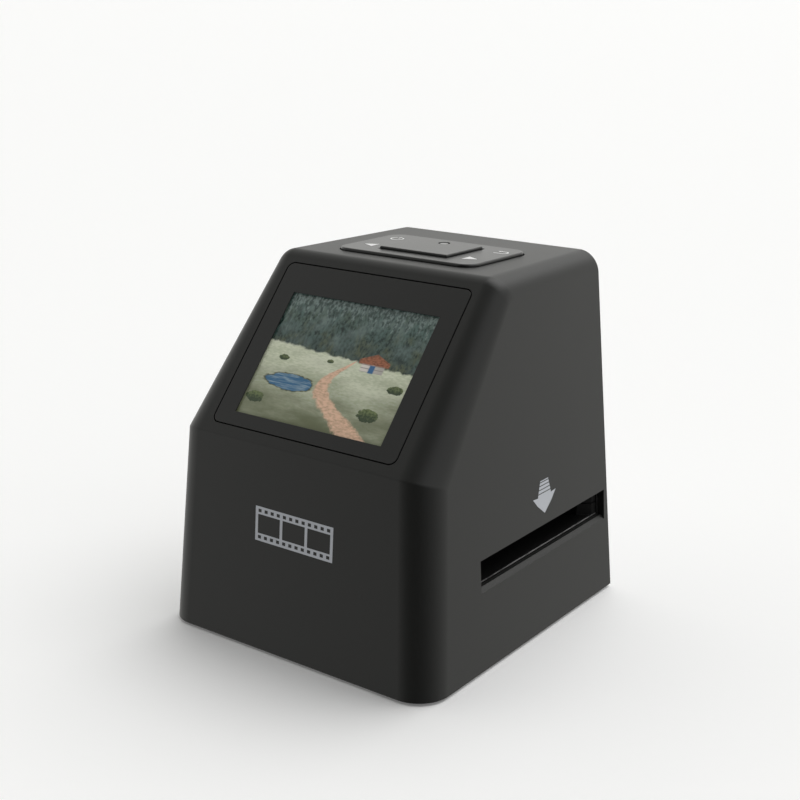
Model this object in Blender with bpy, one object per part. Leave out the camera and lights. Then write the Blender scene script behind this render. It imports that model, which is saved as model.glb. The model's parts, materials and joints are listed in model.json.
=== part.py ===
"""Film negative scanner: a wedge-shaped hood with a screen on its slope, a key pad on top and a film slot."""

import math

import bmesh
import bpy
from mathutils import Matrix, Vector

# All lengths are in metres. The body frame starts under the middle of the hood's lower edge:
# +X is right, +Y is back and +Z is up. The feet carry it a little above the table.

# Clearances
GAP = 0.0003  # between pieces that touch
OVERRUN = 0.003  # how far a cutter passes the faces that it opens
BITE = 0.001  # how far a post or rib runs into what carries it
WELD = 0.00001  # points closer than this are one

# Round pieces
FINE_SIDES = 32
ROUND_SIDES = 20
SCREW_SIDES = 12
SMOOTH_DEGREES = 30

# Names of the places that pieces which come in fours take, in the order that mirrored gives
CORNERS = ("front_left", "front_right", "rear_left", "rear_right")
REAR_CORNERS = ("lower_left", "lower_right", "upper_left", "upper_right")

# Hood
BASE_FRONT_WIDTH = 0.0925
BASE_BACK_WIDTH = 0.0828
BASE_DEPTH = 0.0972
BODY_HEIGHT = 0.1
SIDE_LEAN = 0.0057  # each side comes in this far over the whole height
FRONT_LEAN = 0.0039  # the front leans back this far up to the crease
BACK_LEAN = 0.006  # the back leans forward this far over the whole height
CREASE_HEIGHT = 0.0561  # where the front meets the slope
TOP_DEPTH = 0.0501
BASE_CORNER_RADIUS = 0.0089
CREASE_CORNER_RADIUS = 0.0087
TOP_CORNER_RADIUS = 0.0062
FRONT_CREASE_RADIUS = 0.001
TOP_CREASE_RADIUS = 0.0043
INNER_EDGE_RADIUS = 0.0005
HOOD_WALL = 0.0022
RIB_THICKNESS = 0.0016
RIB_STEP = 0.0005  # a rib is this much shorter than its post at each end
CORNER_STEPS = 7
CREASE_STEPS = 4

# Film slot and channel
SLOT_LENGTH = 0.0672
SLOT_CENTRE_Y = 0.0113
SLOT_FLOOR = 0.0225
SLOT_HEIGHT = 0.0077
SLOT_LEAD_IN = 0.0011  # chamfer under the slot's lower edge
GUIDE_REVEAL = 0.0004  # the guides show this much inside the slot
GUIDE_END_MARGIN = 0.00065
GUIDE_PLATE = 0.0022
CHANNEL_WIDTH = 0.055
RAIL_LEAD_IN = 0.0035
FRAME_WIDTH = 0.038  # light window, for one film frame
FRAME_DEPTH = 0.027

# Base plate
BASE_THICKNESS = 0.0024
BASE_POST_RADIUS = 0.0035
BASE_POST_FROM_SIDE = 0.009
BASE_POST_FROM_FRONT = 0.0216
BASE_POST_FROM_BACK = 0.0206
BASE_POST_HEIGHT = 0.0155
GUIDE_POST_X = 0.028
GUIDE_POST_RADIUS = 0.0026

# Feet
FOOT_RADIUS = 0.0045
FOOT_HEIGHT = 0.0013
FOOT_STAND = 0.0008  # how far the feet hold the hood above the table
FOOT_FROM_SIDE = 0.0105
FOOT_FROM_FRONT = 0.0106
FOOT_FROM_BACK = 0.0096
FOOT_EDGE = 0.0004

# Screws
SCREW_SHANK_RADIUS = 0.0008
SCREW_HEAD_RADIUS = 0.0017
SCREW_HEAD_HEIGHT = 0.0012
SCREW_HEAD_SINK = 0.0001  # a sunk head lies this far under the face around it
CASE_SCREW_LENGTH = 0.0078
BOARD_SCREW_LENGTH = 0.0055
SHORT_SCREW_LENGTH = 0.0036
CHANNEL_SCREW_LENGTH = 0.02
HEAD_TOP_SHARE = 0.7
HEAD_RIM_SHARE = 0.6
TIP_SHARE = 0.4

# Rear cover
REAR_BOSS_RADIUS = 0.003
REAR_BOSS_LENGTH = 0.007
REAR_BOSS_FROM_SIDE = 0.0066
REAR_BOSS_HEIGHTS = (0.012, 0.088)

# Light box under the film
LIGHT_BOX_WIDTH = 0.048
LIGHT_BOX_DEPTH = 0.039
LIGHT_BOX_WALL = 0.0016
DIFFUSER_THICKNESS = 0.0016
DIFFUSER_DROP = 0.0012  # from the light box's rim
LEDGE_SIZE = 0.004
LIGHT_BOARD_WIDTH = 0.036
LIGHT_BOARD_DEPTH = 0.03
BOARD_THICKNESS = 0.0016
LED_SIZE = 0.0035
LED_HEIGHT = 0.0012
LED_PITCH_X = 0.0095
LED_PITCH_Y = 0.009
LED_COLUMNS = 4
LED_ROWS = 3
WIRE_NOTCH_WIDTH = 0.007
WIRE_NOTCH_HEIGHT = 0.003

# Light chamber over the film
CHAMBER_FLANGE_WIDTH = 0.054
CHAMBER_FLANGE_DEPTH = 0.0426
CHAMBER_FLANGE = 0.002
CHAMBER_HEIGHT = 0.0297
CHAMBER_WALL = 0.0016
CHAMBER_FOOT_WIDTH = 0.043
CHAMBER_FOOT_DEPTH = 0.033
CHAMBER_TOP_SIZE = 0.026
CHAMBER_SCREW_INSET = 0.0025

# Lens and sensor
LENS_RADIUS = 0.007
LENS_LENGTH = 0.012
LENS_WALL = 0.0012
LENS_RIM_DROP = 0.0063  # how far the barrel hangs into the chamber
LENS_GLASS_EDGE = 0.0026
LENS_CROWN = 0.0013
LENS_RADIUS_SHARE = 0.5  # the crown is rounded by one point, so far out and so high
LENS_HEIGHT_SHARE = 0.75
HOLDER_SIZE = 0.022
HOLDER_HEIGHT = 0.0094
HOLDER_SPIGOT = 0.001
SENSOR_POCKET_SIZE = 0.016
SENSOR_POCKET_DEPTH = 0.0034
FILTER_THICKNESS = 0.0006
SENSOR_WIDTH = 0.011
SENSOR_DEPTH = 0.01
SENSOR_THICKNESS = 0.0011
SENSOR_BOARD_SIZE = 0.03
SENSOR_BOARD_THICKNESS = 0.0012
SENSOR_SCREW_PLACE = 0.0095

# Screen
PANEL_WIDTH = 0.0619
PANEL_HEIGHT = 0.0499
PANEL_CENTRE = 0.0284  # up the slope from the crease
PANEL_CORNER_RADIUS = 0.002
PANEL_THICKNESS = 0.0012
PANEL_EDGE_GAP = 0.00035
WINDOW_WIDTH = 0.0495
WINDOW_HEIGHT = 0.0372
WINDOW_CENTRE = 0.026
BEZEL_LIP = 0.0003
LCD_WIDTH = 0.053
LCD_HEIGHT = 0.0406
LCD_THICKNESS = 0.0014
LCD_SIDE_GAP = 0.0005
BACKLIGHT_WIDTH = 0.0603
BACKLIGHT_HEIGHT = 0.043
BACKLIGHT_THICKNESS = 0.0023
BRACKET_WIDTH = 0.071
BRACKET_HEIGHT = 0.034
BRACKET_THICKNESS = 0.0008
BRACKET_WINDOW_WIDTH = 0.042
BRACKET_WINDOW_HEIGHT = 0.02
BRACKET_SCREW_X = 0.033
BRACKET_SCREW_RISE = 0.0135  # from the screen's middle, up and down the slope
LCD_POST_RADIUS = 0.002
FLEX_WIDTH = 0.014
FLEX_THICKNESS = 0.0003
FLEX_LENGTH = 0.0293

# Key pad
PAD_WIDTH = 0.0464
PAD_DEPTH = 0.0282
PAD_CENTRE_Y = 0.0136
PAD_CORNER_RADIUS = 0.0045
PAD_RISE = 0.0008
PAD_THICKNESS = 0.0016
PAD_SKIRT = 0.0012
PAD_SIDE_GAP = 0.0004
PAD_FLANGE = 0.0012
PAD_FLANGE_THICKNESS = 0.0009
PAD_FLANGE_DROP = 0.0007  # room to tilt, under the hood's top
PAD_CORNER_STEPS = 5
PIVOT_DEPTH = 0.0054  # the tilt axes lie this far under the hood's top

# Centre key
KEY_WIDTH = 0.023
KEY_DEPTH = 0.0172
KEY_CENTRE_Y = 0.0135
KEY_RISE = 0.0015
KEY_EDGE_RADIUS = 0.0005
KEY_HEAD_HEIGHT = 0.0045
KEY_WALL = 0.0012
KEY_FLANGE = 0.0012
KEY_FLANGE_THICKNESS = 0.001
KEY_STEM_SIZE = 0.006
LIGHT_HOLE_RADIUS = 0.0017
LIGHT_PIPE_RADIUS = 0.0012
LIGHT_PIPE_COLLAR = 0.0005
LIGHT_PIPE_SINK = 0.0001
LIGHT_Y = 0.0196

# Rocker ring and the carrier that holds it
RING_WIDTH = 0.0244
RING_DEPTH = 0.0196
RING_SIDE_BAR = 0.0022
RING_END_BAR = 0.0018
RING_HEIGHT = 0.0024
PIVOT_PIN_RADIUS = 0.0009
PIVOT_PIN_LENGTH = 0.0026
EAR_START = 0.0103  # from the tilt axis
EAR_THICKNESS = 0.0014
EAR_WIDTH = 0.004
EAR_BELOW_PIVOT = 0.0022
FORK_START = 0.0135
FORK_THICKNESS = 0.002
FORK_WIDTH = 0.006
FORK_ABOVE_PIVOT = 0.0018
CARRIER_WIDTH = 0.038
CARRIER_DEPTH = 0.008
CARRIER_THICKNESS = 0.0027
CARRIER_SCREW_X = 0.0172
COLLAR_SIZE = 0.008
COLLAR_HEIGHT = 0.0034
LIGHT_ARM_WIDTH = 0.0052
LIGHT_ARM_REACH = 0.0026  # past the middle of the light

# Key board
KEY_BOARD_WIDTH = 0.064
KEY_BOARD_DEPTH = 0.034
KEY_BOARD_DROP = 0.0104  # from the hood's top to the board's upper face
TOP_BOSS_X = 0.0285
TOP_BOSS_FROM_PAD = 0.0125
TOP_BOSS_RADIUS = 0.0025
SWITCH_SIZE = 0.006
SWITCH_HEIGHT = 0.0022
SWITCH_BUTTON_RADIUS = 0.0014
SWITCH_BUTTON_HEIGHT = 0.001
SWITCH_X = 0.0174
SWITCH_FROM_PAD = 0.009
PUSHER_ROOM = 0.0004  # a pusher's distance from its switch
PLUNGER_RADIUS = 0.0015
PLUNGER_LENGTH = 0.0018
PLUNGER_BORE_DEPTH = 0.0013
STATUS_LED_SIZE = 0.0018
STATUS_LED_HEIGHT = 0.0012

# Film detent
DETENT_FROM_RAIL = 0.0023  # from the channel's front rail to the plunger's axis
DETENT_RADIUS = 0.002
DETENT_SHOULDER_RADIUS = 0.0026
DETENT_SHOULDER_HEIGHT = 0.0012
DETENT_NOSE = 0.0009
NOSE_RADIUS_SHARE = 0.5  # the nose is rounded by one point, so far out and so high
NOSE_HEIGHT_SHARE = 0.16
DETENT_TUBE_WALL = 0.0006
DETENT_TUBE_HEIGHT = 0.0075
DETENT_CAP_HEIGHT = 0.0012
DETENT_CAP_PLUG = 0.0006
SPRING_WIRE_RADIUS = 0.0002
SPRING_RADIUS = 0.0019
SPRING_TURNS = 5
SPRING_TURN_POINTS = 10

# Main board, upright on the left
MAIN_BOARD_X = 0.0323  # its component side, left of the middle
MAIN_BOARD_FRONT_Y = -0.008
MAIN_BOARD_DEPTH = 0.0488
MAIN_BOARD_LIFT = 0.003  # above the film channel
MAIN_BOARD_HEIGHT = 0.049
MAIN_BOSS_RADIUS = 0.0024
MAIN_SCREW_INSET_Y = 0.0035
MAIN_SCREW_INSET_Z = 0.0025
USB_THICKNESS = 0.0032
USB_HEIGHT = 0.0076
USB_LENGTH = 0.0085
USB_SHELL = 0.0005
USB_BACK_WALL = 0.001
USB_TONGUE = 0.0005
USB_TONGUE_ROOM = 0.001  # around the tongue, at its ends and its front
USB_MIDDLE_HEIGHT = 0.0752
USB_FACE_SINK = 0.0006
CARD_THICKNESS = 0.0032
CARD_HEIGHT = 0.026
CARD_LENGTH = 0.027
CARD_SHELL = 0.0005
CARD_END_WALL = 0.001  # above and below the card
CARD_BACK_WALL = 0.002
CARD_MIDDLE_HEIGHT = 0.0545
CHIP_SIZE = 0.012
CHIP_THICKNESS = 0.0012
CHIP_Y = 0.007
CHIP_HEIGHT = 0.044
MEMORY_WIDTH = 0.01
MEMORY_HEIGHT = 0.008
MEMORY_THICKNESS = 0.001
MEMORY_Y = 0.019
MEMORY_MIDDLE_HEIGHT = 0.0755
CAPACITOR_RADIUS = 0.002
CAPACITOR_LENGTH = 0.005
CAPACITOR_Y = (0.0265, 0.0315)
CAPACITOR_MIDDLE_HEIGHT = 0.0755
CONNECTOR_THICKNESS = 0.0022
CONNECTOR_DEPTH = 0.003
CONNECTOR_MARGIN = 0.0005
KEY_CABLE_WIDTH = 0.01
KEY_CABLE_Y = 0.004
SENSOR_RIBBON_WIDTH = 0.008
SENSOR_RIBBON_Y = 0.0095
SENSOR_PLUG_TOP = 0.0685
WIRE_PLUG_LENGTH = 0.005
WIRE_PLUG_HEIGHT = 0.005
WIRE_PLUG_MIDDLE_HEIGHT = 0.0386
WIRE_PLUG_FRONT_Y = -0.0062
WIRE_RADIUS = 0.0006
WIRE_PITCH = 0.0019
WIRE_STEPS = 5
# The wires' own route from the light box to the main board, chosen by hand
WIRE_ROUTE = (
    (-0.0004, -0.004, 0.0071),
    (-0.0006, -0.012, 0.0073),
    (-0.0025, -0.0205, 0.0095),
    (-0.0085, -0.0255, 0.0155),
    (-0.016, -0.0262, 0.0235),
    (-0.0228, -0.0252, 0.031),
    (-0.028, -0.0212, 0.0362),
    (-0.0302, -0.0145, 0.0384),
    (-0.0305, -0.0066, 0.0386),
)

# Sizes that follow from the ones above
SIDE_TAPER = (BASE_FRONT_WIDTH - BASE_BACK_WIDTH) / 2 / BASE_DEPTH
SIDE_SLANT = SIDE_LEAN / BODY_HEIGHT
FRONT_SLANT = FRONT_LEAN / CREASE_HEIGHT
BACK_SLANT = BACK_LEAN / BODY_HEIGHT
SIDE_NORMAL = Vector((1, SIDE_TAPER, SIDE_SLANT)).normalized()
INSIDE = HOOD_WALL + GAP  # how far under the hood's outer faces an inner piece stays

GUIDE_LENGTH = SLOT_LENGTH - 2 * GUIDE_END_MARGIN
RAIL_WIDTH = (GUIDE_LENGTH - CHANNEL_WIDTH) / 2
RAIL_FROM_CENTRE = (CHANNEL_WIDTH + RAIL_WIDTH) / 2
CHANNEL_FLOOR = SLOT_FLOOR + GUIDE_REVEAL
CHANNEL_CEILING = SLOT_FLOOR + SLOT_HEIGHT - GUIDE_REVEAL
RAIL_HEIGHT = (CHANNEL_CEILING - CHANNEL_FLOOR - GAP) / 2
GUIDE_BOTTOM = CHANNEL_FLOOR - GUIDE_PLATE
GUIDE_TOP = CHANNEL_CEILING + GUIDE_PLATE

SCREW_HOLE_RADIUS = SCREW_SHANK_RADIUS + GAP
SCREW_POCKET_RADIUS = SCREW_HEAD_RADIUS + GAP
SCREW_POCKET_DEPTH = SCREW_HEAD_SINK + SCREW_HEAD_HEIGHT + GAP
SCREW_TIP_ROOM = 0.001  # free depth past a screw's tip

LIGHT_BOX_BOTTOM = BASE_THICKNESS + GAP
LIGHT_BOX_TOP = GUIDE_BOTTOM - GAP
LIGHT_BOARD_BOTTOM = LIGHT_BOX_BOTTOM + LIGHT_BOX_WALL + GAP
LIGHT_BOARD_TOP = LIGHT_BOARD_BOTTOM + BOARD_THICKNESS
DIFFUSER_BOTTOM = LIGHT_BOX_TOP - DIFFUSER_DROP - DIFFUSER_THICKNESS

CHAMBER_BOTTOM = GUIDE_TOP + GAP
CHAMBER_TOP = CHAMBER_BOTTOM + CHAMBER_HEIGHT
HOLDER_BOTTOM = CHAMBER_TOP + GAP
HOLDER_TOP = HOLDER_BOTTOM + HOLDER_HEIGHT
SENSOR_FLOOR = HOLDER_TOP - SENSOR_POCKET_DEPTH
SENSOR_BOARD_BOTTOM = HOLDER_TOP + GAP
SENSOR_BOARD_TOP = SENSOR_BOARD_BOTTOM + SENSOR_BOARD_THICKNESS
LENS_BOTTOM = CHAMBER_TOP - LENS_RIM_DROP
LENS_TOP = LENS_BOTTOM + LENS_LENGTH

PANEL_BACK = PANEL_THICKNESS + GAP  # depths under the slope
LCD_FRONT = BEZEL_LIP + GAP
LCD_BACK = LCD_FRONT + LCD_THICKNESS
BACKLIGHT_FRONT = HOOD_WALL + GAP
BACKLIGHT_BACK = BACKLIGHT_FRONT + BACKLIGHT_THICKNESS
BRACKET_FRONT = BACKLIGHT_BACK + GAP
BRACKET_BACK = BRACKET_FRONT + BRACKET_THICKNESS
FLEX_X = BACKLIGHT_WIDTH / 2 + GAP
FLEX_START = BACKLIGHT_FRONT + GAP
FLEX_END = FLEX_START + FLEX_LENGTH

HOOD_CEILING = BODY_HEIGHT - HOOD_WALL
PIVOT_HEIGHT = BODY_HEIGHT - PIVOT_DEPTH
PAD_TOP = BODY_HEIGHT + PAD_RISE
PAD_UNDERSIDE = PAD_TOP - PAD_THICKNESS
PAD_FLANGE_TOP = HOOD_CEILING - PAD_FLANGE_DROP
PAD_FLANGE_BOTTOM = PAD_FLANGE_TOP - PAD_FLANGE_THICKNESS
KEY_TOP = BODY_HEIGHT + KEY_RISE
KEY_BOTTOM = KEY_TOP - KEY_HEAD_HEIGHT
KEY_BOARD_TOP = BODY_HEIGHT - KEY_BOARD_DROP
KEY_BOARD_BOTTOM = KEY_BOARD_TOP - BOARD_THICKNESS
SWITCH_BOTTOM = KEY_BOARD_TOP + GAP
SWITCH_TOP = SWITCH_BOTTOM + SWITCH_HEIGHT
PUSHER_BOTTOM = SWITCH_TOP + SWITCH_BUTTON_HEIGHT + PUSHER_ROOM
PLUNGER_BOTTOM = SWITCH_TOP - GAP
PLUNGER_TOP = PLUNGER_BOTTOM + PLUNGER_LENGTH
STEM_BOTTOM = PLUNGER_TOP + GAP
CARRIER_BOTTOM = KEY_BOARD_TOP + GAP
CARRIER_TOP = CARRIER_BOTTOM + CARRIER_THICKNESS
COLLAR_TOP = CARRIER_TOP + COLLAR_HEIGHT

DETENT_Y = SLOT_CENTRE_Y - CHANNEL_WIDTH / 2 + DETENT_FROM_RAIL
DETENT_TIP = CHANNEL_CEILING - DETENT_NOSE
DETENT_SHOULDER_BOTTOM = GUIDE_TOP + GAP
DETENT_SHOULDER_TOP = DETENT_SHOULDER_BOTTOM + DETENT_SHOULDER_HEIGHT
DETENT_TUBE_INNER = DETENT_SHOULDER_RADIUS + GAP
DETENT_TUBE_OUTER = DETENT_TUBE_INNER + DETENT_TUBE_WALL
DETENT_TUBE_TOP = GUIDE_TOP + DETENT_TUBE_HEIGHT
SPRING_BOTTOM = DETENT_SHOULDER_TOP + GAP

MAIN_BOARD_BACK_Y = MAIN_BOARD_FRONT_Y + MAIN_BOARD_DEPTH
MAIN_BOARD_BOTTOM = GUIDE_TOP + MAIN_BOARD_LIFT
MAIN_BOARD_TOP = MAIN_BOARD_BOTTOM + MAIN_BOARD_HEIGHT
MAIN_BOARD_OUTER_X = MAIN_BOARD_X + BOARD_THICKNESS
COMPONENT_X = -MAIN_BOARD_X + GAP  # where a component on the main board starts

# Colour, roughness and metallic value of each kind of finish
FINISHES = {
    "case": ((0.022, 0.022, 0.023), 0.52, 0),
    "inner_case": ((0.012, 0.012, 0.012), 0.6, 0),
    "key": ((0.018, 0.018, 0.019), 0.42, 0),
    "panel": ((0.014, 0.014, 0.015), 0.3, 0),
    "picture": ((0.12, 0.17, 0.13), 0.15, 0),
    "rubber": ((0.02, 0.02, 0.02), 0.85, 0),
    "steel": ((0.55, 0.55, 0.56), 0.35, 1),
    "white_plastic": ((0.8, 0.8, 0.78), 0.45, 0),
    "clear": ((0.85, 0.88, 0.88), 0.08, 0),
    "filter": ((0.35, 0.62, 0.6), 0.08, 0),
    "board": ((0.02, 0.16, 0.07), 0.45, 0),
    "chip": ((0.015, 0.015, 0.016), 0.5, 0),
    "capacitor": ((0.03, 0.04, 0.09), 0.4, 0),
    "film_cable": ((0.45, 0.2, 0.04), 0.4, 0),
    "wire": ((0.45, 0.03, 0.02), 0.45, 0),
}


def clear_scene():
    for obj in list(bpy.data.objects):
        bpy.data.objects.remove(obj, do_unlink=True)


def new_collection(name):
    collection = bpy.data.collections.new(name)
    bpy.context.scene.collection.children.link(collection)
    return collection


clear_scene()
PARTS = new_collection("film_negative_scanner")
CUTTERS = new_collection("cutters")


def new_frame(name, location, tilt=0.0, parent=None):
    """An empty that carries pieces, tilted about X."""
    empty = bpy.data.objects.new(name, None)
    PARTS.objects.link(empty)
    empty.parent = parent
    empty.location = location
    empty.rotation_euler = (tilt, 0, 0)
    return empty


# Places on the body


def side_x(y, z, inset=0.0):
    """Half the body's width at a place, with the side wall moved in by inset."""
    middle = (BASE_FRONT_WIDTH + BASE_BACK_WIDTH) / 4
    return middle - SIDE_TAPER * y - SIDE_SLANT * z - inset * math.hypot(1, SIDE_TAPER, SIDE_SLANT)


def front_y(z, inset=0.0):
    return FRONT_SLANT * z - BASE_DEPTH / 2 + inset * math.hypot(1, FRONT_SLANT)


def back_y(z, inset=0.0):
    return BASE_DEPTH / 2 - BACK_SLANT * z - inset * math.hypot(1, BACK_SLANT)


CREASE = Vector((front_y(CREASE_HEIGHT), CREASE_HEIGHT))  # y and z
TOP_EDGE = Vector((back_y(BODY_HEIGHT) - TOP_DEPTH, BODY_HEIGHT))
SLOPE_TILT = math.atan2(TOP_EDGE.y - CREASE.y, TOP_EDGE.x - CREASE.x)
BACK_TILT = math.atan(BACK_SLANT)

# The side profile's front, slope and top: an outward normal and a point, in y and z
FRONT_LINE = (Vector((-1, FRONT_SLANT)).normalized(), CREASE)
SLOPE_LINE = (Vector((-math.sin(SLOPE_TILT), math.cos(SLOPE_TILT))), CREASE)
TOP_LINE = (Vector((0, 1)), TOP_EDGE)

BODY = new_frame("body_frame", (0, 0, FOOT_STAND))
SLOPE = new_frame("slope_frame", (0, CREASE.x, CREASE.y), SLOPE_TILT, BODY)
REAR = new_frame("rear_frame", (0, BASE_DEPTH / 2, 0), BACK_TILT, BODY)
ROCKER_PIVOT = new_frame("rocker_pivot", (0, PAD_CENTRE_Y, PIVOT_HEIGHT), parent=BODY)


def mirrored(places):
    """Each (x, ...) place with its twin on the left."""
    return [(side * place[0], *place[1:]) for place in places for side in (-1, 1)]


# Shapes. Each function gives a bmesh, which solid, fuse, cut or trim uses up


def box(low, high):
    piece = bmesh.new()
    bmesh.ops.create_cube(piece, size=1)
    size = [b - a for a, b in zip(low, high)]
    middle = [(a + b) / 2 for a, b in zip(low, high)]
    bmesh.ops.scale(piece, vec=size, verts=piece.verts)
    bmesh.ops.translate(piece, vec=middle, verts=piece.verts)
    return piece


def slab(x, y, bottom, top, width, depth):
    """A box on a vertical axis through x and y."""
    return box((x - width / 2, y - depth / 2, bottom), (x + width / 2, y + depth / 2, top))


def soft_slab(x, y, bottom, top, width, depth, radius, steps=PAD_CORNER_STEPS):
    """A slab with rounded upright edges."""
    piece = slab(x, y, bottom, top, width, depth)
    upright = [e for e in piece.edges if abs(e.verts[0].co.z - e.verts[1].co.z) > GAP]
    bmesh.ops.bevel(piece, geom=upright, offset=radius, segments=steps, profile=0.5, affect="EDGES")
    return piece


def frustum(x, y, bottom, top, low_width, low_depth, high_width, high_depth):
    """A slab whose upper face has a size of its own."""
    piece = slab(x, y, bottom, top, low_width, low_depth)
    for vert in piece.verts:
        if vert.co.z > (bottom + top) / 2:
            vert.co.x = x + (vert.co.x - x) * high_width / low_width
            vert.co.y = y + (vert.co.y - y) * high_depth / low_depth
    return piece


def rod(radius, start, end, sides=ROUND_SIDES):
    start, end = Vector(start), Vector(end)
    piece = bmesh.new()
    turn = Vector((0, 0, 1)).rotation_difference(end - start).to_matrix().to_4x4()
    place = Matrix.Translation((start + end) / 2) @ turn
    bmesh.ops.create_cone(
        piece,
        cap_ends=True,
        segments=sides,
        radius1=radius,
        radius2=radius,
        depth=(end - start).length,
        matrix=place,
    )
    return piece


def screw_hole(start, end):
    return rod(SCREW_HOLE_RADIUS, start, end, SCREW_SIDES)


def upright_holes(places, low, high):
    """Screw holes at (x, y) places, from one height to another."""
    return [screw_hole((x, y, low), (x, y, high)) for x, y in places]


def turned(profile, start, direction, sides=ROUND_SIDES):
    """A turned shape: (radius, height) points from the axis, round the outside and back to the axis."""
    piece = bmesh.new()
    verts = [piece.verts.new((radius, 0, height)) for radius, height in profile]
    edges = [piece.edges.new(pair) for pair in zip(verts, verts[1:])]
    bmesh.ops.spin(piece, geom=verts + edges, angle=math.tau, steps=sides, axis=(0, 0, 1), cent=(0, 0, 0))
    bmesh.ops.remove_doubles(piece, verts=piece.verts, dist=WELD)
    bmesh.ops.recalc_face_normals(piece, faces=piece.faces)
    turn = Vector((0, 0, 1)).rotation_difference(Vector(direction)).to_matrix().to_4x4()
    bmesh.ops.transform(piece, matrix=Matrix.Translation(start) @ turn, verts=piece.verts)
    return piece


def prism(outline, bottom, top):
    """A flat outline of (x, y) points, made solid between two heights."""
    piece = bmesh.new()
    face = piece.faces.new([piece.verts.new((x, y, bottom)) for x, y in outline])
    made = bmesh.ops.extrude_face_region(piece, geom=[face])
    raised = [item for item in made["geom"] if isinstance(item, bmesh.types.BMVert)]
    bmesh.ops.translate(piece, vec=(0, 0, top - bottom), verts=raised)
    bmesh.ops.recalc_face_normals(piece, faces=piece.faces)
    return piece


def screw(seat, direction, length):
    """A pan-head screw: seat is under its head, and direction runs from the head to the tip."""
    head = SCREW_HEAD_RADIUS
    shank = SCREW_SHANK_RADIUS
    profile = (
        (0, -SCREW_HEAD_HEIGHT),
        (head * HEAD_TOP_SHARE, -SCREW_HEAD_HEIGHT),
        (head, -SCREW_HEAD_HEIGHT * HEAD_RIM_SHARE),
        (head, 0),
        (shank, 0),
        (shank, length - shank),
        (shank * TIP_SHARE, length),
        (0, length),
    )
    return turned(profile, seat, direction, SCREW_SIDES)


def crossing(first, second, first_depth, second_depth):
    """Where two lines of the profile meet once each has moved in by its depth."""
    (n, p), (m, q) = first, second
    a = n.dot(p) - first_depth
    b = m.dot(q) - second_depth
    spread = n.x * m.y - n.y * m.x
    return Vector(((a * m.y - b * n.y) / spread, (b * n.x - a * m.x) / spread))


def rounded_corner(first, second, first_depth, second_depth, radius):
    """The points of the fillet between two lines of the profile."""
    corner = crossing(first, second, first_depth, second_depth)
    n, m = first[0], second[0]
    centre = corner - (n + m) * radius / (1 + n.dot(m))
    start = math.atan2(n.y, n.x)
    turn = math.atan2(m.y, m.x) - start
    angles = [start + turn * k / CREASE_STEPS for k in range(CREASE_STEPS + 1)]
    return [centre + radius * Vector((math.cos(a), math.sin(a))) for a in angles]


def fillet_depths(line, radius, share):
    """How deep a rail lies under its own face and under the side wall, so far round the corner fillet."""
    corner_angle = SIDE_NORMAL.angle(Vector((0, *line[0])))
    turned_by = share * corner_angle
    return radius * (1 - math.cos(turned_by)), radius * (1 - math.cos(corner_angle - turned_by))


def body_rail(share, inset, floor, back_inset):
    """A rail of the body's loft, from the foot of the front over the slope and the top to the back.

    share is how far round the corner fillet it lies: 0 where the front ends and 1 where the side begins.
    """
    base_radius = max(BASE_CORNER_RADIUS - inset, INNER_EDGE_RADIUS)
    crease_radius = max(CREASE_CORNER_RADIUS - inset, INNER_EDGE_RADIUS)
    top_radius = max(TOP_CORNER_RADIUS - inset, INNER_EDGE_RADIUS)
    front_edge = max(FRONT_CREASE_RADIUS - inset, INNER_EDGE_RADIUS)
    top_edge = max(TOP_CREASE_RADIUS - inset, INNER_EDGE_RADIUS)
    rail = []

    under, beside = fillet_depths(FRONT_LINE, base_radius, share)
    y = front_y(floor, inset + under)
    rail.append((side_x(y, floor, inset + beside), y, floor))

    corners = (
        (FRONT_LINE, SLOPE_LINE, crease_radius, front_edge),
        (SLOPE_LINE, TOP_LINE, top_radius, top_edge),
    )
    for first, second, radius, edge in corners:
        first_under, first_beside = fillet_depths(first, radius, share)
        second_under, second_beside = fillet_depths(second, radius, share)
        beside = (first_beside + second_beside) / 2
        for y, z in rounded_corner(first, second, inset + first_under, inset + second_under, edge):
            rail.append((side_x(y, z, inset + beside), y, z))

    under, beside = fillet_depths(TOP_LINE, top_radius, share)
    z = BODY_HEIGHT - inset - under
    y = back_y(z, back_inset)
    rail.append((side_x(y, z, inset + beside), y, z))
    return rail


def body_form(inset=0.0, floor=0.0, back_inset=0.0):
    """The body's own form with its walls moved in by inset, as a closed loft between unlike profiles."""
    piece = bmesh.new()
    shares = [k / CORNER_STEPS for k in range(CORNER_STEPS + 1)]
    rails = [body_rail(share, inset, floor, back_inset) for share in shares]
    right = [[piece.verts.new(point) for point in rail] for rail in rails]
    left = [[piece.verts.new((-x, y, z)) for x, y, z in rail] for rail in rails]
    foot_y = back_y(floor, back_inset)
    foot_x = side_x(foot_y, floor, inset)
    right_foot = piece.verts.new((foot_x, foot_y, floor))
    left_foot = piece.verts.new((-foot_x, foot_y, floor))
    loft = left[::-1] + right
    for near, far in zip(loft, loft[1:]):
        for k in range(len(near) - 1):
            piece.faces.new((near[k], near[k + 1], far[k + 1], far[k]))
    piece.faces.new([rail[0] for rail in loft] + [right_foot, left_foot])
    piece.faces.new([rail[-1] for rail in loft] + [right_foot, left_foot])
    piece.faces.new(right[-1] + [right_foot])
    piece.faces.new(left[-1] + [left_foot])
    bmesh.ops.recalc_face_normals(piece, faces=piece.faces)
    return piece


# Building objects


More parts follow.
